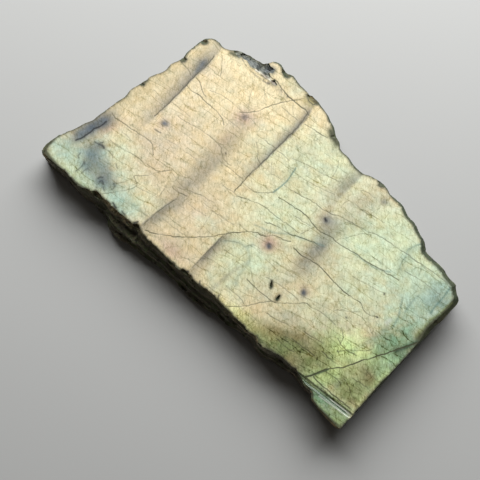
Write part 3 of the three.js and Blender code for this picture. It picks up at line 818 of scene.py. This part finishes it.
# The soft zones of colour, which follow the layers inside the stone. Each cloud is a soft ellipse: its middle
# in the photograph's pixels, its half length and half breadth in millimetres, its turn in degrees and its
# strength.
clouds = {
    "peach": [
        ((170, 130), (11, 8), -40, 0.6), ((150, 165), (9, 7), -30, 0.6),
        ((195, 205), (6, 4), -40, 0.55), ((243, 122), (4, 3), 0, 0.8), ((170, 250), (5, 3.5), 40, 0.9),
        ((205, 75), (5, 3), -40, 0.45), ((383, 192), (5, 4), 30, 0.5), ((362, 205), (5, 4), 30, 0.6),
        ((310, 215), (6, 4), 20, 0.4), ((272, 285), (5, 5), 0, 0.4), ((268, 240), (3.2, 2.4), 0, 0.7),
        ((320, 265), (5, 3.5), 30, 0.4), ((385, 300), (5, 4), 30, 0.25),
        ((205, 222), (5, 4), -40, 0.4), ((345, 300), (4, 3), 30, 0.3)],
    "mint": [
        ((285, 215), (10, 8), 20, 0.75), ((305, 165), (11, 7), 40, 0.6),
        ((250, 260), (8, 6), 20, 0.85), ((375, 250), (14, 6), 30, 1.0), ((345, 175), (7, 5), 40, 0.5),
        ((395, 225), (9, 6), 40, 0.8), ((360, 290), (12, 8), 30, 0.7), ((320, 320), (12, 6), 20, 0.45),
        ((225, 285), (5, 4), 40, 0.5), ((66, 155), (6, 5), 30, 0.6), ((80, 180), (7, 3.5), 45, 0.7),
        ((140, 200), (6, 4), 30, 0.4), ((330, 150), (6, 4), 40, 0.5), ((430, 285), (12, 9), 40, 1.0),
        # Of these, the small mint clouds at (388, 322) and (394, 312) are a painted highlight.
        ((120, 150), (5, 4), 30, 0.5), ((388, 322), (1.6, 1.0), 45, 0.9),
        ((394, 312), (3.5, 1.5), -50, 0.9), ((125, 175), (4, 3), 30, 0.4),
        ((412, 255), (6, 5), 40, 0.8), ((205, 222), (3, 2), 0, 0.3), ((298, 88), (4, 3), 40, 0.35),
        ((262, 150), (4, 3), 40, 0.3)],
    "sea": [
        ((442, 300), (6, 5), 40, 0.9), ((405, 313), (8, 5), -45, 0.15), ((425, 318), (6, 6), 0, 0.62),
        ((120, 205), (5, 4), 40, 0.75), ((92, 160), (6, 5), 60, 0.7), ((395, 285), (6, 4), 30, 0.2),
        ((62, 152), (4, 3), 30, 0.6), ((108, 190), (4, 3), 40, 0.6), ((80, 180), (5, 3), 45, 0.5)],
    "tan": [
        ((150, 82), (14, 2.6), -34, 0.9), ((116, 106), (6, 1.8), -38, 0.4),
        ((195, 60), (6, 2.6), -45, 0.7)],
    "leaf": [
        ((392, 343), (8, 3.5), -42, 1.0), ((318, 400), (8, 3), 42, 1.0),
        ((398, 360), (8, 3.5), -42, 0.85), ((338, 415), (5, 3), 20, 0.8),
        ((375, 372), (6, 3.5), -42, 0.5), ((312, 382), (4, 2.5), 40, 0.6),
        ((384, 365), (4, 2.5), -42, 0.5)],
    "lime": [
        ((345, 353), (7, 3.5), 10, 1.0), ((330, 375), (6, 3), 10, 1.0), ((348, 338), (6, 3), 20, 0.3),
        ((355, 400), (5, 3), 40, 0.5), ((385, 385), (5, 3), -42, 0.5), ((338, 414), (3, 2), 42, 0.3)],
    "amber": [
        ((242, 320), (6, 2.0), 42, 1.0), ((261, 336), (4, 2.4), 42, 0.8),
        ((233, 311), (4, 1.1), 42, 0.4), ((165, 255), (4, 1.2), 42, 0.3),
        ((80, 177), (7, 1.3), 42, 0.2)],
    "olive": [
        ((290, 345), (9, 3.6), 20, 1.0), ((275, 350), (8, 2.5), 42, 0.9),
        ((312, 356), (5, 3.5), 20, 0.8), ((325, 340), (5, 2.5), 20, 0.35),
        ((352, 385), (5, 4), -42, 0.6), ((365, 378), (4, 3), -42, 0.4), ((345, 392), (6, 2), 42, 0.6),
        ((385, 352), (3, 1.5), -42, 0.3), ((337, 418), (2.6, 1.2), 42, 0.5)],
    "umber": [
        ((272, 331), (4, 1.6), 20, 0.7), ((298, 335), (4.5, 1.3), 10, 0.6),
        ((292, 362), (2.5, 2.0), 40, 0.6), ((366, 375), (1.7, 1.5), 0, 0.7),
        ((353, 405), (1.5, 1.0), 40, 0.6), ((308, 345), (3, 1.5), 30, 0.5),
        ((420, 335), (1.5, 1.2), 0, 0.6), ((262, 324), (2.0, 1.2), 40, 0.15)],
}

# Small spots and patches with clearer edges, given in the same way: the blue-grey streak and haze at the left
# end, dark spots with a blush around them, and grey shade beside the bends.
spots = {
    "dusk": [
        ((203, 64), (1.9, 1.5), -40, 0.9), ((206, 160), (7, 2.8), -45, 0.5),
        ((180, 190), (5, 2.2), -40, 0.5), ((160, 212), (5, 2.2), -42, 0.4),
        ((318, 255), (5, 2.5), -50, 0.5), ((328, 232), (3, 2.2), 0, 0.5),
        ((288, 318), (3.5, 2), 30, 0.45), ((150, 142), (5, 2), 30, 0.25),
        ((230, 135), (4, 2.4), -45, 0.3), ((343, 185), (4.5, 2.2), -50, 0.3),
        ((355, 222), (3.5, 2), 30, 0.35), ((362, 205), (4, 3), 0, 0.38), ((442, 300), (5, 4), 40, 0.5),
        ((312, 155), (6, 5), 40, 0.2), ((330, 320), (5, 3), 20, 0.25), ((62, 152), (4, 3), 30, 0.2),
        ((262, 150), (5, 4), 40, 0.1), ((298, 88), (4, 3), 40, 0.36), ((225, 75), (5, 3), 40, 0.17),
        ((382, 198), (2.5, 2), 0, 0.2), ((345, 355), (1.5, 1), 0, 0.1)],
    "slate": [
        ((92, 127), (6.0, 2.4), -31, 1.0), ((104, 121), (2.6, 1.9), -31, 0.9),
        ((80, 136), (2.4, 1.3), -31, 0.8), ((92, 155), (3.2, 2.8), 60, 0.75),
        ((100, 168), (4.2, 2.6), 55, 0.35), ((88, 168), (2.4, 1.9), 60, 0.55),
        ((101, 181), (2.1, 2.0), 0, 0.8), ((98, 146), (2.4, 1.5), 0, 0.6),
        ((106, 172), (3.0, 1.8), 60, 0.5), ((112, 186), (2, 1.6), 0, 0.4),
        ((164.5, 123.5), (1.0, 0.85), 20, 0.95), ((245, 117), (1.0, 0.9), 0, 0.65),
        ((269, 246), (1.0, 0.9), 30, 1.0), ((326.5, 220.5), (1.5, 1.4), 0, 0.75),
        ((304, 293), (0.8, 1.15), -10, 1.0), ((384, 202), (0.9, 0.8), 0, 0.6),
        ((203, 64), (1.5, 1.0), -45, 0.85), ((198, 70), (1.3, 0.6), -45, 0.6),
        ((272, 70), (1.3, 1.2), 0, 0.75), ((120, 205), (2.5, 2.0), 40, 0.15),
        ((180, 205), (1.8, 1.2), -40, 0.2), ((322, 247), (1.2, 0.9), 0, 0.4)],
    "blush": [
        ((245, 117), (2.6, 2.0), 0, 0.6), ((269, 243), (2.4, 2.1), 0, 0.9),
        ((326, 220), (2.4, 2.2), 0, 0.4), ((170, 250), (3.5, 1.8), 40, 0.4),
        ((304, 292), (1.8, 1.8), 0, 0.35), ((225, 140), (3, 1.5), -40, 0.3),
        ((110, 128), (3, 1.4), -30, 0.5), ((164, 124), (1.8, 1.6), 0, 0.25)],
}
rim_softness = 0.38
inner_rim_reach = 0.7
flaw_shake = 0.16
line_shake = 0.03
line_shake_length = 0.5
soft_reach = 3
rubble_over_rim = 0.8
rim_in_groove = 0.3
picture_right = np.array(camera_right.xy)
picture_up = np.array(camera_up.xy) / camera_up.xy.length


def cloud_mask(places, shapes):
    """How deep each place lies in any of the clouds, from 0 to 1."""
    clear = np.ones(len(places))
    for middle, (half_length, half_breadth), turn, strength in shapes:
        ahead = math.cos(math.radians(turn)), -math.sin(math.radians(turn))
        way = ahead[0] * picture_right + ahead[1] * picture_up
        gap = places - on_face([middle])[0]
        along = gap @ way / half_length
        across = (gap[:, 1] * way[0] - gap[:, 0] * way[1]) / half_breadth
        clear *= 1 - strength * np.exp(-(along ** 2 + across ** 2))
    return 1 - clear


def stroke_mask(places, lines, shake):
    """How close each place is to any of the lines, from 0 to 1. Each line is shaken by up to shake."""
    found = np.zeros(len(places))
    for number, (strength, breadth, pixels) in enumerate(lines.values()):
        line = smooth_line(pixels)
        line += wobble(line, line_shake_length, number, shake)
        strengths = np.full(len(line), strength)
        distance, _, level = nearest_on_line(places, line, strengths, breadth * soft_reach)
        found = np.maximum(found, level * np.exp(-(distance / breadth) ** 2))
    return found


def drifted(places, *drifts):
    """The places after smooth random shifts, each of a length, a seed and a reach."""
    return places + sum(wobble(places, *drift) for drift in drifts)


loose_places = drifted(flat_points, (5.0, 31, 1.3), (1.5, 32, 0.45))
firmer_places = drifted(flat_points, (1.4, 33, 0.25), (0.6, 34, 0.1))
masks = {name: cloud_mask(loose_places, shapes) for name, shapes in clouds.items()}
masks |= {name: cloud_mask(firmer_places, shapes) for name, shapes in spots.items()}
for left_softness, right_softness, stations in bands.values():
    stations = np.array(stations, float)
    line = smooth_line(stations[:, :2])
    strengths = np.interp(np.linspace(0, 1, len(line)), np.linspace(0, 1, len(stations)), stations[:, 2])
    reach = soft_reach * max(left_softness, right_softness)
    distance, side, strength = nearest_on_line(flat_points, line, strengths, reach)
    softness = np.where(side > 0, left_softness, right_softness)
    band = np.clip(strength * np.exp(-(distance / softness) ** 2), 0, 1)
    masks["dusk"] = 1 - (1 - masks["dusk"]) * (1 - band)
rim_tree = KDTree(len(face_rim))
for number, (x, y) in enumerate(face_rim):
    rim_tree.insert((x, y, 0), number)
rim_tree.balance()
rim_distance = np.array([rim_tree.find((x, y, 0))[2] for x, y in flat_points])
masks["rim"] = np.exp(-(rim_distance / rim_softness) ** 2)
masks["inner_rim"] = np.exp(-(rim_distance / inner_rim_reach) ** 2)
for name, lines in strokes.items():
    masks[name] = stroke_mask(flat_points, lines, flaw_shake if name == "flaw" else line_shake)
groove_ends = (np.array([place]) / MM for place in groove_line)
beside_groove = gap_to_edges(flat_points, *groove_ends) < groove_reach / MM
masks["rim"] *= (1 - rubble_over_rim * masks["rubble"]) * np.where(beside_groove, rim_in_groove, 1)
masks["crack"] = np.zeros(len(points))
for line, strengths in crack_lines.values():
    distance, _, strength = nearest_on_line(flat_points, line, strengths, crack_reach)
    masks["crack"] = np.maximum(masks["crack"], strength * np.clip(1 - distance / crack_spread, 0, 1))

points[:, 2] -= np.where(on_top, masks["crack"], 0) * crack_depth * MM
slab_mesh.vertices.foreach_set("co", points.ravel())
for name, values in masks.items():
    slab_mesh.attributes.new(name, "FLOAT", "POINT").data.foreach_set("value", values.astype(np.float32))


def new_group(name, inputs):
    """A group of shader nodes with one value out. Each input is named, with its kind of socket."""
    tree = bpy.data.node_groups.new(name, "ShaderNodeTree")
    for label, kind in inputs.items():
        tree.interface.new_socket(label, in_out="INPUT", socket_type=kind)
    tree.interface.new_socket("Value", in_out="OUTPUT", socket_type="NodeSocketFloat")
    return tree, add_node(tree, "NodeGroupInput").outputs


def spread(tree, value, low, high, start=0.0, end=1.0, smooth=True):
    """The value's share of the way from low to high, brought between start and end."""
    made = add_node(tree, "ShaderNodeMapRange", {
        "Value": value, "From Min": low, "From Max": high, "To Min": start, "To Max": end},
        interpolation_type="SMOOTHSTEP" if smooth else "LINEAR")
    return made.outputs[0]


def turned_place(tree, size, turn):
    """The piece's own coordinates, turned about the upright and counted in steps of the given size."""
    own = add_node(tree, "ShaderNodeTexCoord")
    turn = add_node(tree, "ShaderNodeCombineXYZ", {"Z": turn})
    return add_node(tree, "ShaderNodeMapping", {
        "Vector": own.outputs["Object"], "Rotation": turn.outputs[0], "Scale": size},
        vector_type="TEXTURE").outputs[0]


def grain_group():
    """The grain of the stone, in all its surfaces: soft noise of a given size, turn and fineness."""
    tree, given = new_group("stone_grain", {
        "Size": "NodeSocketVector", "Turn": "NodeSocketFloat", "Detail": "NodeSocketFloat",
        "Roughness": "NodeSocketFloat", "Distortion": "NodeSocketFloat"})
    made = add_node(tree, "ShaderNodeTexNoise", {
        "Vector": turned_place(tree, given["Size"], given["Turn"]), "Scale": 1.0, "Detail": given["Detail"],
        "Roughness": given["Roughness"], "Distortion": given["Distortion"]})
    add_node(tree, "NodeGroupOutput", {"Value": made.outputs[0]})
    return tree


def net_group():
    """A warped net of cells. Value is 1 on the hair cracks between them, and Cell is a shade for each."""
    tree, given = new_group("hair_net", {
        "Size": "NodeSocketVector", "Turn": "NodeSocketFloat", "Width": "NodeSocketFloat",
        "Warp": "NodeSocketFloat"})
    place = turned_place(tree, given["Size"], given["Turn"])
    warp = add_node(tree, "ShaderNodeTexNoise", {"Vector": place, "Scale": 1.7, "Detail": 2.0})
    shift = reckon_vector(tree, "SUBTRACT", warp.outputs["Color"], (0.5, 0.5, 0.5))
    moved = reckon_vector(tree, "ADD", place, reckon_vector(tree, "SCALE", shift, given["Warp"]))
    net = add_node(tree, "ShaderNodeTexVoronoi", {"Vector": moved, "Scale": 1.0}, feature="DISTANCE_TO_EDGE")
    cells = add_node(tree, "ShaderNodeTexVoronoi", {"Vector": moved, "Scale": 1.0})
    shade = add_node(tree, "ShaderNodeSeparateXYZ", {0: cells.outputs["Color"]})
    tree.interface.new_socket("Cell", in_out="OUTPUT", socket_type="NodeSocketFloat")
    on_crack = spread(tree, net.outputs["Distance"], 0.0, given["Width"], 1.0, 0.0)
    add_node(tree, "NodeGroupOutput", {"Value": on_crack, "Cell": shade.outputs[0]})
    return tree


row_jump = 7.3


def parting_group():
    """Long thin lines side by side, where the stone parts along its grain, each broken off in places.

    Size is how long a piece of a line is and how far apart the lines lie. Width and Wander are shares of
    that gap, and Cover is how much of each line shows.
    """
    tree, given = new_group("parting_lines", {
        "Size": "NodeSocketVector", "Turn": "NodeSocketFloat", "Width": "NodeSocketFloat",
        "Wander": "NodeSocketFloat", "Cover": "NodeSocketFloat"})
    place = turned_place(tree, given["Size"], given["Turn"])
    bend = add_node(tree, "ShaderNodeTexNoise", {"Vector": place, "Scale": 1.1, "Detail": 2.5})
    bend = reckon(tree, "MULTIPLY", reckon(tree, "SUBTRACT", bend.outputs[0], 0.5), given["Wander"])
    apart = add_node(tree, "ShaderNodeSeparateXYZ", {0: place})
    across = reckon(tree, "ADD", apart.outputs["Y"], bend)
    row = reckon(tree, "FLOOR", across)
    jitter = add_node(tree, "ShaderNodeTexWhiteNoise", {"W": row}, noise_dimensions="1D")
    middle = spread(tree, jitter.outputs["Value"], 0.0, 1.0, 0.25, 0.75, smooth=False)
    away = reckon(tree, "ABSOLUTE", reckon(tree, "SUBTRACT", reckon(tree, "FRACT", across), middle))
    line = spread(tree, away, 0.0, given["Width"], 1.0, 0.0)
    own_row = reckon(tree, "MULTIPLY", row, row_jump)
    own_place = add_node(tree, "ShaderNodeCombineXYZ", {"X": apart.outputs["X"], "Y": own_row})
    there = add_node(tree, "ShaderNodeTexNoise", {
        "Vector": own_place.outputs[0], "Scale": 1.0, "Detail": 1.0})
    gate = reckon(tree, "SUBTRACT", 1.0, given["Cover"])
    shown = spread(tree, reckon(tree, "SUBTRACT", there.outputs[0], gate), -0.05, 0.12)
    add_node(tree, "NodeGroupOutput", {"Value": reckon(tree, "MULTIPLY", line, shown)})
    return tree


stone_grain = grain_group()


def grain(tree, size, turn=0.0, detail=3.0, roughness=0.55, distortion=0.0):
    """The stone's grain in a material, of its own size, turn and fineness."""
    return add_node(tree, "ShaderNodeGroup", {
        "Size": size, "Turn": turn, "Detail": detail, "Roughness": roughness, "Distortion": distortion},
        node_tree=stone_grain).outputs[0]


def blended(tree, share, first, second):
    """The first colour with a share of the second laid over it."""
    made = add_node(tree, "ShaderNodeMix", {"Factor": share}, data_type="RGBA")
    for socket, value in ((made.inputs[6], first), (made.inputs[7], second)):
        if isinstance(value, bpy.types.NodeSocket):
            tree.links.new(value, socket)
        else:
            socket.default_value = value
    return made.outputs[2]


def marked(tree, name):
    """The mesh's mask of this name."""
    return add_node(tree, "ShaderNodeAttribute", attribute_name=name).outputs["Fac"]


# The polish: colour from the layers inside the stone, with fine upright wrinkles, a net of hair cracks and
# long parting lines in it. The drawn lines and the rim lie over all of these.
gold = (0.80, 0.68, 0.415, 1)
zone_colours = {
    "peach": (0.71, 0.60, 0.42, 1),
    "mint": (0.715, 0.825, 0.55, 1),
    "tan": (0.60, 0.50, 0.29, 1),
    "sea": (0.46, 0.655, 0.52, 1),
    "leaf": (0.235, 0.385, 0.225, 1),
    "lime": (0.75, 0.92, 0.38, 1),
    "amber": (0.86, 0.82, 0.38, 1),
    "olive": (0.205, 0.25, 0.095, 1),
    "umber": (0.27, 0.22, 0.10, 1),
    "blush": (0.60, 0.38, 0.27, 1),
    "dusk": (0.17, 0.165, 0.15, 1),
    "slate": (0.078, 0.11, 0.145, 1),
    "shade": (0.13, 0.125, 0.11, 1),
    "grit": (0.125, 0.115, 0.085, 1),
    "ochre": (0.47, 0.40, 0.19, 1),
    "fern": (0.34, 0.42, 0.17, 1),
    "moss": (0.075, 0.085, 0.038, 1),
    "teal": (0.15, 0.27, 0.23, 1),
}
drawn_colours = {
    # The dark split's own colour, and painted shade in the groove.
    "split_and_groove_shade": (0.035, 0.075, 0.04, 1),
    "rim": (0.07, 0.072, 0.045, 1),
    "crack": (0.07, 0.07, 0.035, 1),
    "flaw": (0.015, 0.017, 0.02, 1),
    # Painted highlights on the groove's edges, and the pale sliver's own colour.
    "sliver_and_painted_highlight": (0.85, 0.88, 0.80, 1),
}
darkest = (0.01, 0.01, 0.005)
zone_shares = {"dusk": 0.7, "slate": 0.95, "rim": 0.95, "crack": 0.9}
broad_zones = ("peach", "mint", "sea", "leaf", "lime", "amber", "olive", "umber")
lined_zones = ("leaf", "lime", "amber", "olive", "umber")
zone_looseness = 0.9
warmth_in_red = 0.25
warmth_in_blue = -0.35
blue_change = 1.25
upright = camera_azimuth
parting_turn = -math.radians(34)
rising_turn = math.radians(46)
steep_turn = math.radians(80)

hair_net = net_group()
parting_lines = parting_group()


def net(tree, size, turn, width, warp):
    """A net of hair cracks in a material, turned from the picture's upright."""
    return add_node(tree, "ShaderNodeGroup", {
        "Size": size, "Turn": upright + turn, "Width": width, "Warp": warp}, node_tree=hair_net).outputs


def partings(tree, size, turn, width, wander, cover):
    """Parting lines in a material, turned from the picture's upright."""
    return add_node(tree, "ShaderNodeGroup", {
        "Size": size, "Turn": upright + turn, "Width": width, "Wander": wander, "Cover": cover},
        node_tree=parting_lines).outputs[0]


tree = polished_tree
fibres = grain(tree, (0.42 * MM, 1.5 * MM, MM), upright, distortion=0.7)
fine_fibres = grain(tree, (0.2 * MM, 0.6 * MM, MM), upright - 0.25, detail=2.0, distortion=0.5)
blobs = grain(tree, (1.1 * MM, 1.5 * MM, MM), upright - 0.4, detail=2.0, distortion=0.6)
mottle = grain(tree, (3.0 * MM, 2.4 * MM, MM), upright, detail=3.0)
patches = grain(tree, (9 * MM, 6 * MM, MM), upright - 0.5, detail=2.0)
tint = grain(tree, (2.6 * MM, 3.6 * MM, MM), upright + 0.8, detail=3.0)
wide_net, wide_cells = net(tree, (3.6 * MM, 2.0 * MM, MM), parting_turn, 0.05, 0.6)
small_net, small_cells = net(tree, (1.1 * MM, 1.7 * MM, MM), 0.1, 0.08, 0.7)
long_partings = partings(tree, (9 * MM, 2.9 * MM, MM), parting_turn, 0.06, 1.3, 0.56)
short_partings = partings(tree, (3.0 * MM, 1.7 * MM, MM), parting_turn - 0.12, 0.08, 1.4, 0.46)
rising_partings = partings(tree, (5 * MM, 2.8 * MM, MM), rising_turn, 0.06, 0.9, 0.45)
steep_partings = partings(tree, (2.4 * MM, 1.5 * MM, MM), steep_turn, 0.09, 1.2, 0.46)


def laid_over(colour, colours):
    """The colour of the polish with each of these laid over it in turn, where its mask lies."""
    for name, own_colour in colours.items():
        share = marked(tree, name)
        if name in broad_zones:
            loose = reckon(tree, "MULTIPLY", reckon(tree, "SUBTRACT", mottle, 0.5), zone_looseness)
            share = reckon(tree, "MULTIPLY", reckon(tree, "ADD", share, loose, clamp=True),
                           spread(tree, share, 0.0, 0.15))
        if name == "crack":
            share = spread(tree, share, 0.0, 0.8)
        if name == "grit":
            share = reckon(tree, "MULTIPLY", share, spread(tree, small_cells, 0.35, 0.6, 0.25, 1.0))
        share = reckon(tree, "MULTIPLY", share, zone_shares.get(name, 1.0))
        colour = blended(tree, share, colour, own_colour)
    return colour


# Each fine pattern makes the colour lighter or darker about its own middle value, by its own weight.
change = 0.0
for pattern, middle, weight in (
    (fibres, 0.5, 0.65), (fine_fibres, 0.5, 0.45), (blobs, 0.5, 0.4), (mottle, 0.5, 0.35),
    (patches, 0.5, 0.25), (wide_net, 0.1, -0.22), (wide_cells, 0.5, 0.07), (small_net, 0.15, -0.13),
    (small_cells, 0.5, 0.07), (long_partings, 0.04, -0.36), (short_partings, 0.04, -0.28),
    (rising_partings, 0.02, -0.25), (steep_partings, 0.03, -0.22),
):
    part = reckon(tree, "MULTIPLY", reckon(tree, "SUBTRACT", pattern, middle), weight)
    change = reckon(tree, "ADD", part, change)
deep = 0.0
for zone in lined_zones:
    deep = reckon(tree, "MAXIMUM", marked(tree, zone), deep)
change = reckon(tree, "MULTIPLY", change, reckon(tree, "ADD", deep, 1.0))
warmth = reckon(tree, "SUBTRACT", tint, 0.5)
green = reckon(tree, "ADD", change, 1.0)
red = reckon(tree, "ADD", reckon(tree, "MULTIPLY", warmth, warmth_in_red), green)
blue = reckon(tree, "ADD", reckon(tree, "MULTIPLY", change, blue_change), 1.0)
blue = reckon(tree, "ADD", reckon(tree, "MULTIPLY", warmth, warmth_in_blue), blue)
light = add_node(tree, "ShaderNodeCombineXYZ", {"X": red, "Y": green, "Z": blue})
lit = reckon_vector(tree, "MULTIPLY", laid_over(gold, zone_colours), light.outputs[0])
colour = laid_over(reckon_vector(tree, "MAXIMUM", lit, darkest), drawn_colours)
tree.links.new(colour, polished_shader.inputs["Base Color"])
polished_shader.inputs["Metallic"].default_value = 0.15
polished_shader.inputs["Coat Weight"].default_value = 0.12
polished_shader.inputs["Coat Roughness"].default_value = 0.12
tree.links.new(spread(tree, fibres, 0.3, 0.7, 0.34, 0.46, smooth=False), polished_shader.inputs["Roughness"])
relief = reckon(tree, "SUBTRACT", reckon(tree, "MULTIPLY", fibres, 0.5),
                reckon(tree, "MULTIPLY", wide_net, 0.5))
relief = reckon(tree, "SUBTRACT", relief, reckon(tree, "MULTIPLY", long_partings, 0.6))
bump = add_node(tree, "ShaderNodeBump", {"Height": relief, "Strength": 0.5, "Distance": 0.03 * MM})
tree.links.new(bump.outputs[0], polished_shader.inputs["Normal"])

# The raw broken stone: near black and olive brown. The long wall lies in the lamp's shadow and is painted
# lighter, the brownest, as a painted fill light, with painted light shining through its thin top edge. The
# other walls face the lamp and are painted darker and greener, a painted shade, with painted shade along
# their top and a painted highlight next to the face. Pale specks are painted glints, and strokes on polished
# bevels are painted highlights.
# In the trench the stone is crushed to grey rubble.
long_wall_dark_painted_fill = (0.095, 0.080, 0.058, 1)
long_wall_brown_painted_fill = (0.26, 0.20, 0.13, 1)
wall_green = (0.115, 0.140, 0.065, 1)
far_wall_dark_painted_shade = (0.022, 0.024, 0.018, 1)
far_wall_brown_painted_shade = (0.100, 0.092, 0.064, 1)
wall_inner_painted_highlight = (0.050, 0.070, 0.034, 1)
wall_rim_painted_shade = (0.014, 0.019, 0.010, 1)
wall_moss = (0.075, 0.082, 0.038, 1)
wall_fern = (0.34, 0.40, 0.15, 1)
wall_ochre = (0.45, 0.38, 0.19, 1)
wall_bevel_highlight = (0.16, 0.17, 0.13, 1)
wall_edge_painted_light = (0.42, 0.32, 0.16, 1)
wall_painted_glint = (0.24, 0.23, 0.17, 1)
rubble_dark = (0.06, 0.066, 0.05, 1)
rubble_pale = (0.29, 0.30, 0.24, 1)
rubble_blue = (0.17, 0.19, 0.205, 1)
rubble_sliver = (0.66, 0.54, 0.43, 1)
upper_band = (5.4 * MM, 7.0 * MM)
edge_band = (5.0 * MM, 6.9 * MM)
stain_and_highlight_band = (3.5 * MM, 6.4 * MM)
crushed_band = (4.8 * MM, 6.0 * MM)

tree = broken_tree
lumps = grain(tree, (1.6 * MM, 1.6 * MM, 0.7 * MM), detail=5.0, roughness=0.7)
ledges = grain(tree, (4.5 * MM, 4.5 * MM, 0.5 * MM), detail=3.0, roughness=0.6)
specks = grain(tree, (0.35 * MM, 0.35 * MM, 0.25 * MM), detail=3.0)
crumbs = grain(tree, (1.8 * MM, 0.55 * MM, 0.8 * MM), -0.1, detail=4.0, roughness=0.75)
own_place = add_node(tree, "ShaderNodeTexCoord").outputs["Object"]
height = add_node(tree, "ShaderNodeSeparateXYZ", {0: own_place}).outputs["Z"]
high_up = spread(tree, height, *upper_band)
outwards = add_node(tree, "ShaderNodeNewGeometry").outputs["Normal"]
facing = add_node(tree, "ShaderNodeSeparateXYZ", {0: outwards})
facing_up = spread(tree, facing.outputs["Z"], 0.15, 0.75)
# The share of the walls off the long wall, which face the lamp. They take the darker colours, a painted
# shade. The long wall, in shadow, takes the lighter ones, a painted fill light.
off_long_wall = reckon(tree, "MAXIMUM", spread(tree, facing.outputs["Y"], -0.2, 0.2),
                       spread(tree, facing.outputs["X"], -0.6, -0.3, 1.0, 0.0))
brown = spread(tree, reckon(tree, "ADD", lumps, reckon(tree, "MULTIPLY", ledges, 0.8)), 0.80, 1.10)
colour = blended(tree, off_long_wall, blended(tree, brown, long_wall_dark_painted_fill, long_wall_brown_painted_fill),
                 blended(tree, brown, far_wall_dark_painted_shade, far_wall_brown_painted_shade))
greener = reckon(tree, "MULTIPLY", reckon(tree, "MAXIMUM", reckon(tree, "MULTIPLY", high_up, 0.6), facing_up),
                 spread(tree, lumps, 0.42, 0.6, 0.1, 1.0))
colour = blended(tree, greener, colour, wall_green)
on_long_wall = spread(tree, facing.outputs["Y"], -0.5, -0.1, 1.0, 0.0)
# Painted light along the long wall's thin top edge, as if light shone through it.
painted_edge_light = reckon(tree, "MULTIPLY", spread(tree, height, *edge_band), on_long_wall)
painted_edge_light = reckon(tree, "MULTIPLY", painted_edge_light, spread(tree, lumps, 0.35, 0.6, 0.25, 1.0))
colour = blended(tree, painted_edge_light, colour, wall_edge_painted_light)
# On the top of the walls that face the lamp: painted shade, with a painted highlight next to the polished
# face.
far_rim_painted_shade_and_highlight = blended(tree, marked(tree, "inner_rim"), wall_rim_painted_shade, wall_inner_painted_highlight)
colour = blended(tree, reckon(tree, "MULTIPLY", off_long_wall, high_up), colour, far_rim_painted_shade_and_highlight)
high_side = spread(tree, height, *stain_and_highlight_band)
# Stains of moss, fern and ochre, and painted highlights on the polished bevels.
for name, stain in (("moss", wall_moss), ("fern", wall_fern), ("ochre", wall_ochre), ("bevel_highlight", wall_bevel_highlight)):
    share = reckon(tree, "MULTIPLY", marked(tree, name), spread(tree, lumps, 0.35, 0.55, 0.45, 1.0))
    colour = blended(tree, reckon(tree, "MULTIPLY", share, high_side), colour, stain)
# Pale specks: painted glints of the cleavage faces.
colour = blended(tree, reckon(tree, "MULTIPLY", spread(tree, specks, 0.6, 0.7), 0.35), colour, wall_painted_glint)
rubble = blended(tree, spread(tree, crumbs, 0.42, 0.60), rubble_dark, rubble_pale)
rubble = blended(tree, reckon(tree, "MULTIPLY", marked(tree, "blue_rubble"), spread(tree, crumbs, 0.35, 0.5)),
                 rubble, rubble_blue)
rubble = blended(tree, marked(tree, "sliver_and_painted_highlight"), rubble, rubble_sliver)
crushed = reckon(tree, "MULTIPLY", spread(tree, marked(tree, "rubble"), 0.15, 0.5),
                 spread(tree, height, *crushed_band))
colour = blended(tree, crushed, colour, rubble)
tree.links.new(colour, broken_shader.inputs["Base Color"])
broken_shader.inputs["Specular IOR Level"].default_value = 0.3
tree.links.new(spread(tree, specks, 0.3, 0.7, 0.45, 0.8), broken_shader.inputs["Roughness"])
roughness_height = reckon(tree, "ADD", specks, crumbs)
bump = add_node(tree, "ShaderNodeBump", {"Height": roughness_height, "Strength": 0.8, "Distance": 0.15 * MM})
tree.links.new(bump.outputs[0], broken_shader.inputs["Normal"])

# The sawn stone of the underside and the square end: dark and matt, with the fine straight lines that the saw
# left.
sawn_dark = (0.030, 0.032, 0.024, 1)
sawn_pale = (0.075, 0.078, 0.060, 1)
tree = sawn_tree
clouding = grain(tree, (3 * MM, 3 * MM, 3 * MM), detail=5.0)
saw_lines = grain(tree, (30 * MM, 0.35 * MM, 0.35 * MM), 0.12, detail=2.0)
colour = blended(tree, spread(tree, clouding, 0.35, 0.65), sawn_dark, sawn_pale)
colour = blended(tree, reckon(tree, "MULTIPLY", spread(tree, saw_lines, 0.45, 0.6), 0.4), colour, sawn_pale)
tree.links.new(colour, sawn_shader.inputs["Base Color"])
tree.links.new(spread(tree, saw_lines, 0.3, 0.7, 0.55, 0.8), sawn_shader.inputs["Roughness"])
bump = add_node(tree, "ShaderNodeBump", {"Height": saw_lines, "Strength": 0.6, "Distance": 0.1 * MM})
tree.links.new(bump.outputs[0], sawn_shader.inputs["Normal"])

# The whole slab is one natural piece, so its walls, its polished face and its cuts are one mesh.
labradorite = bpy.data.objects.new("labradorite", slab_mesh)
bpy.context.collection.objects.link(labradorite)
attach(labradorite, "root")
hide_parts("labradorite_slab")
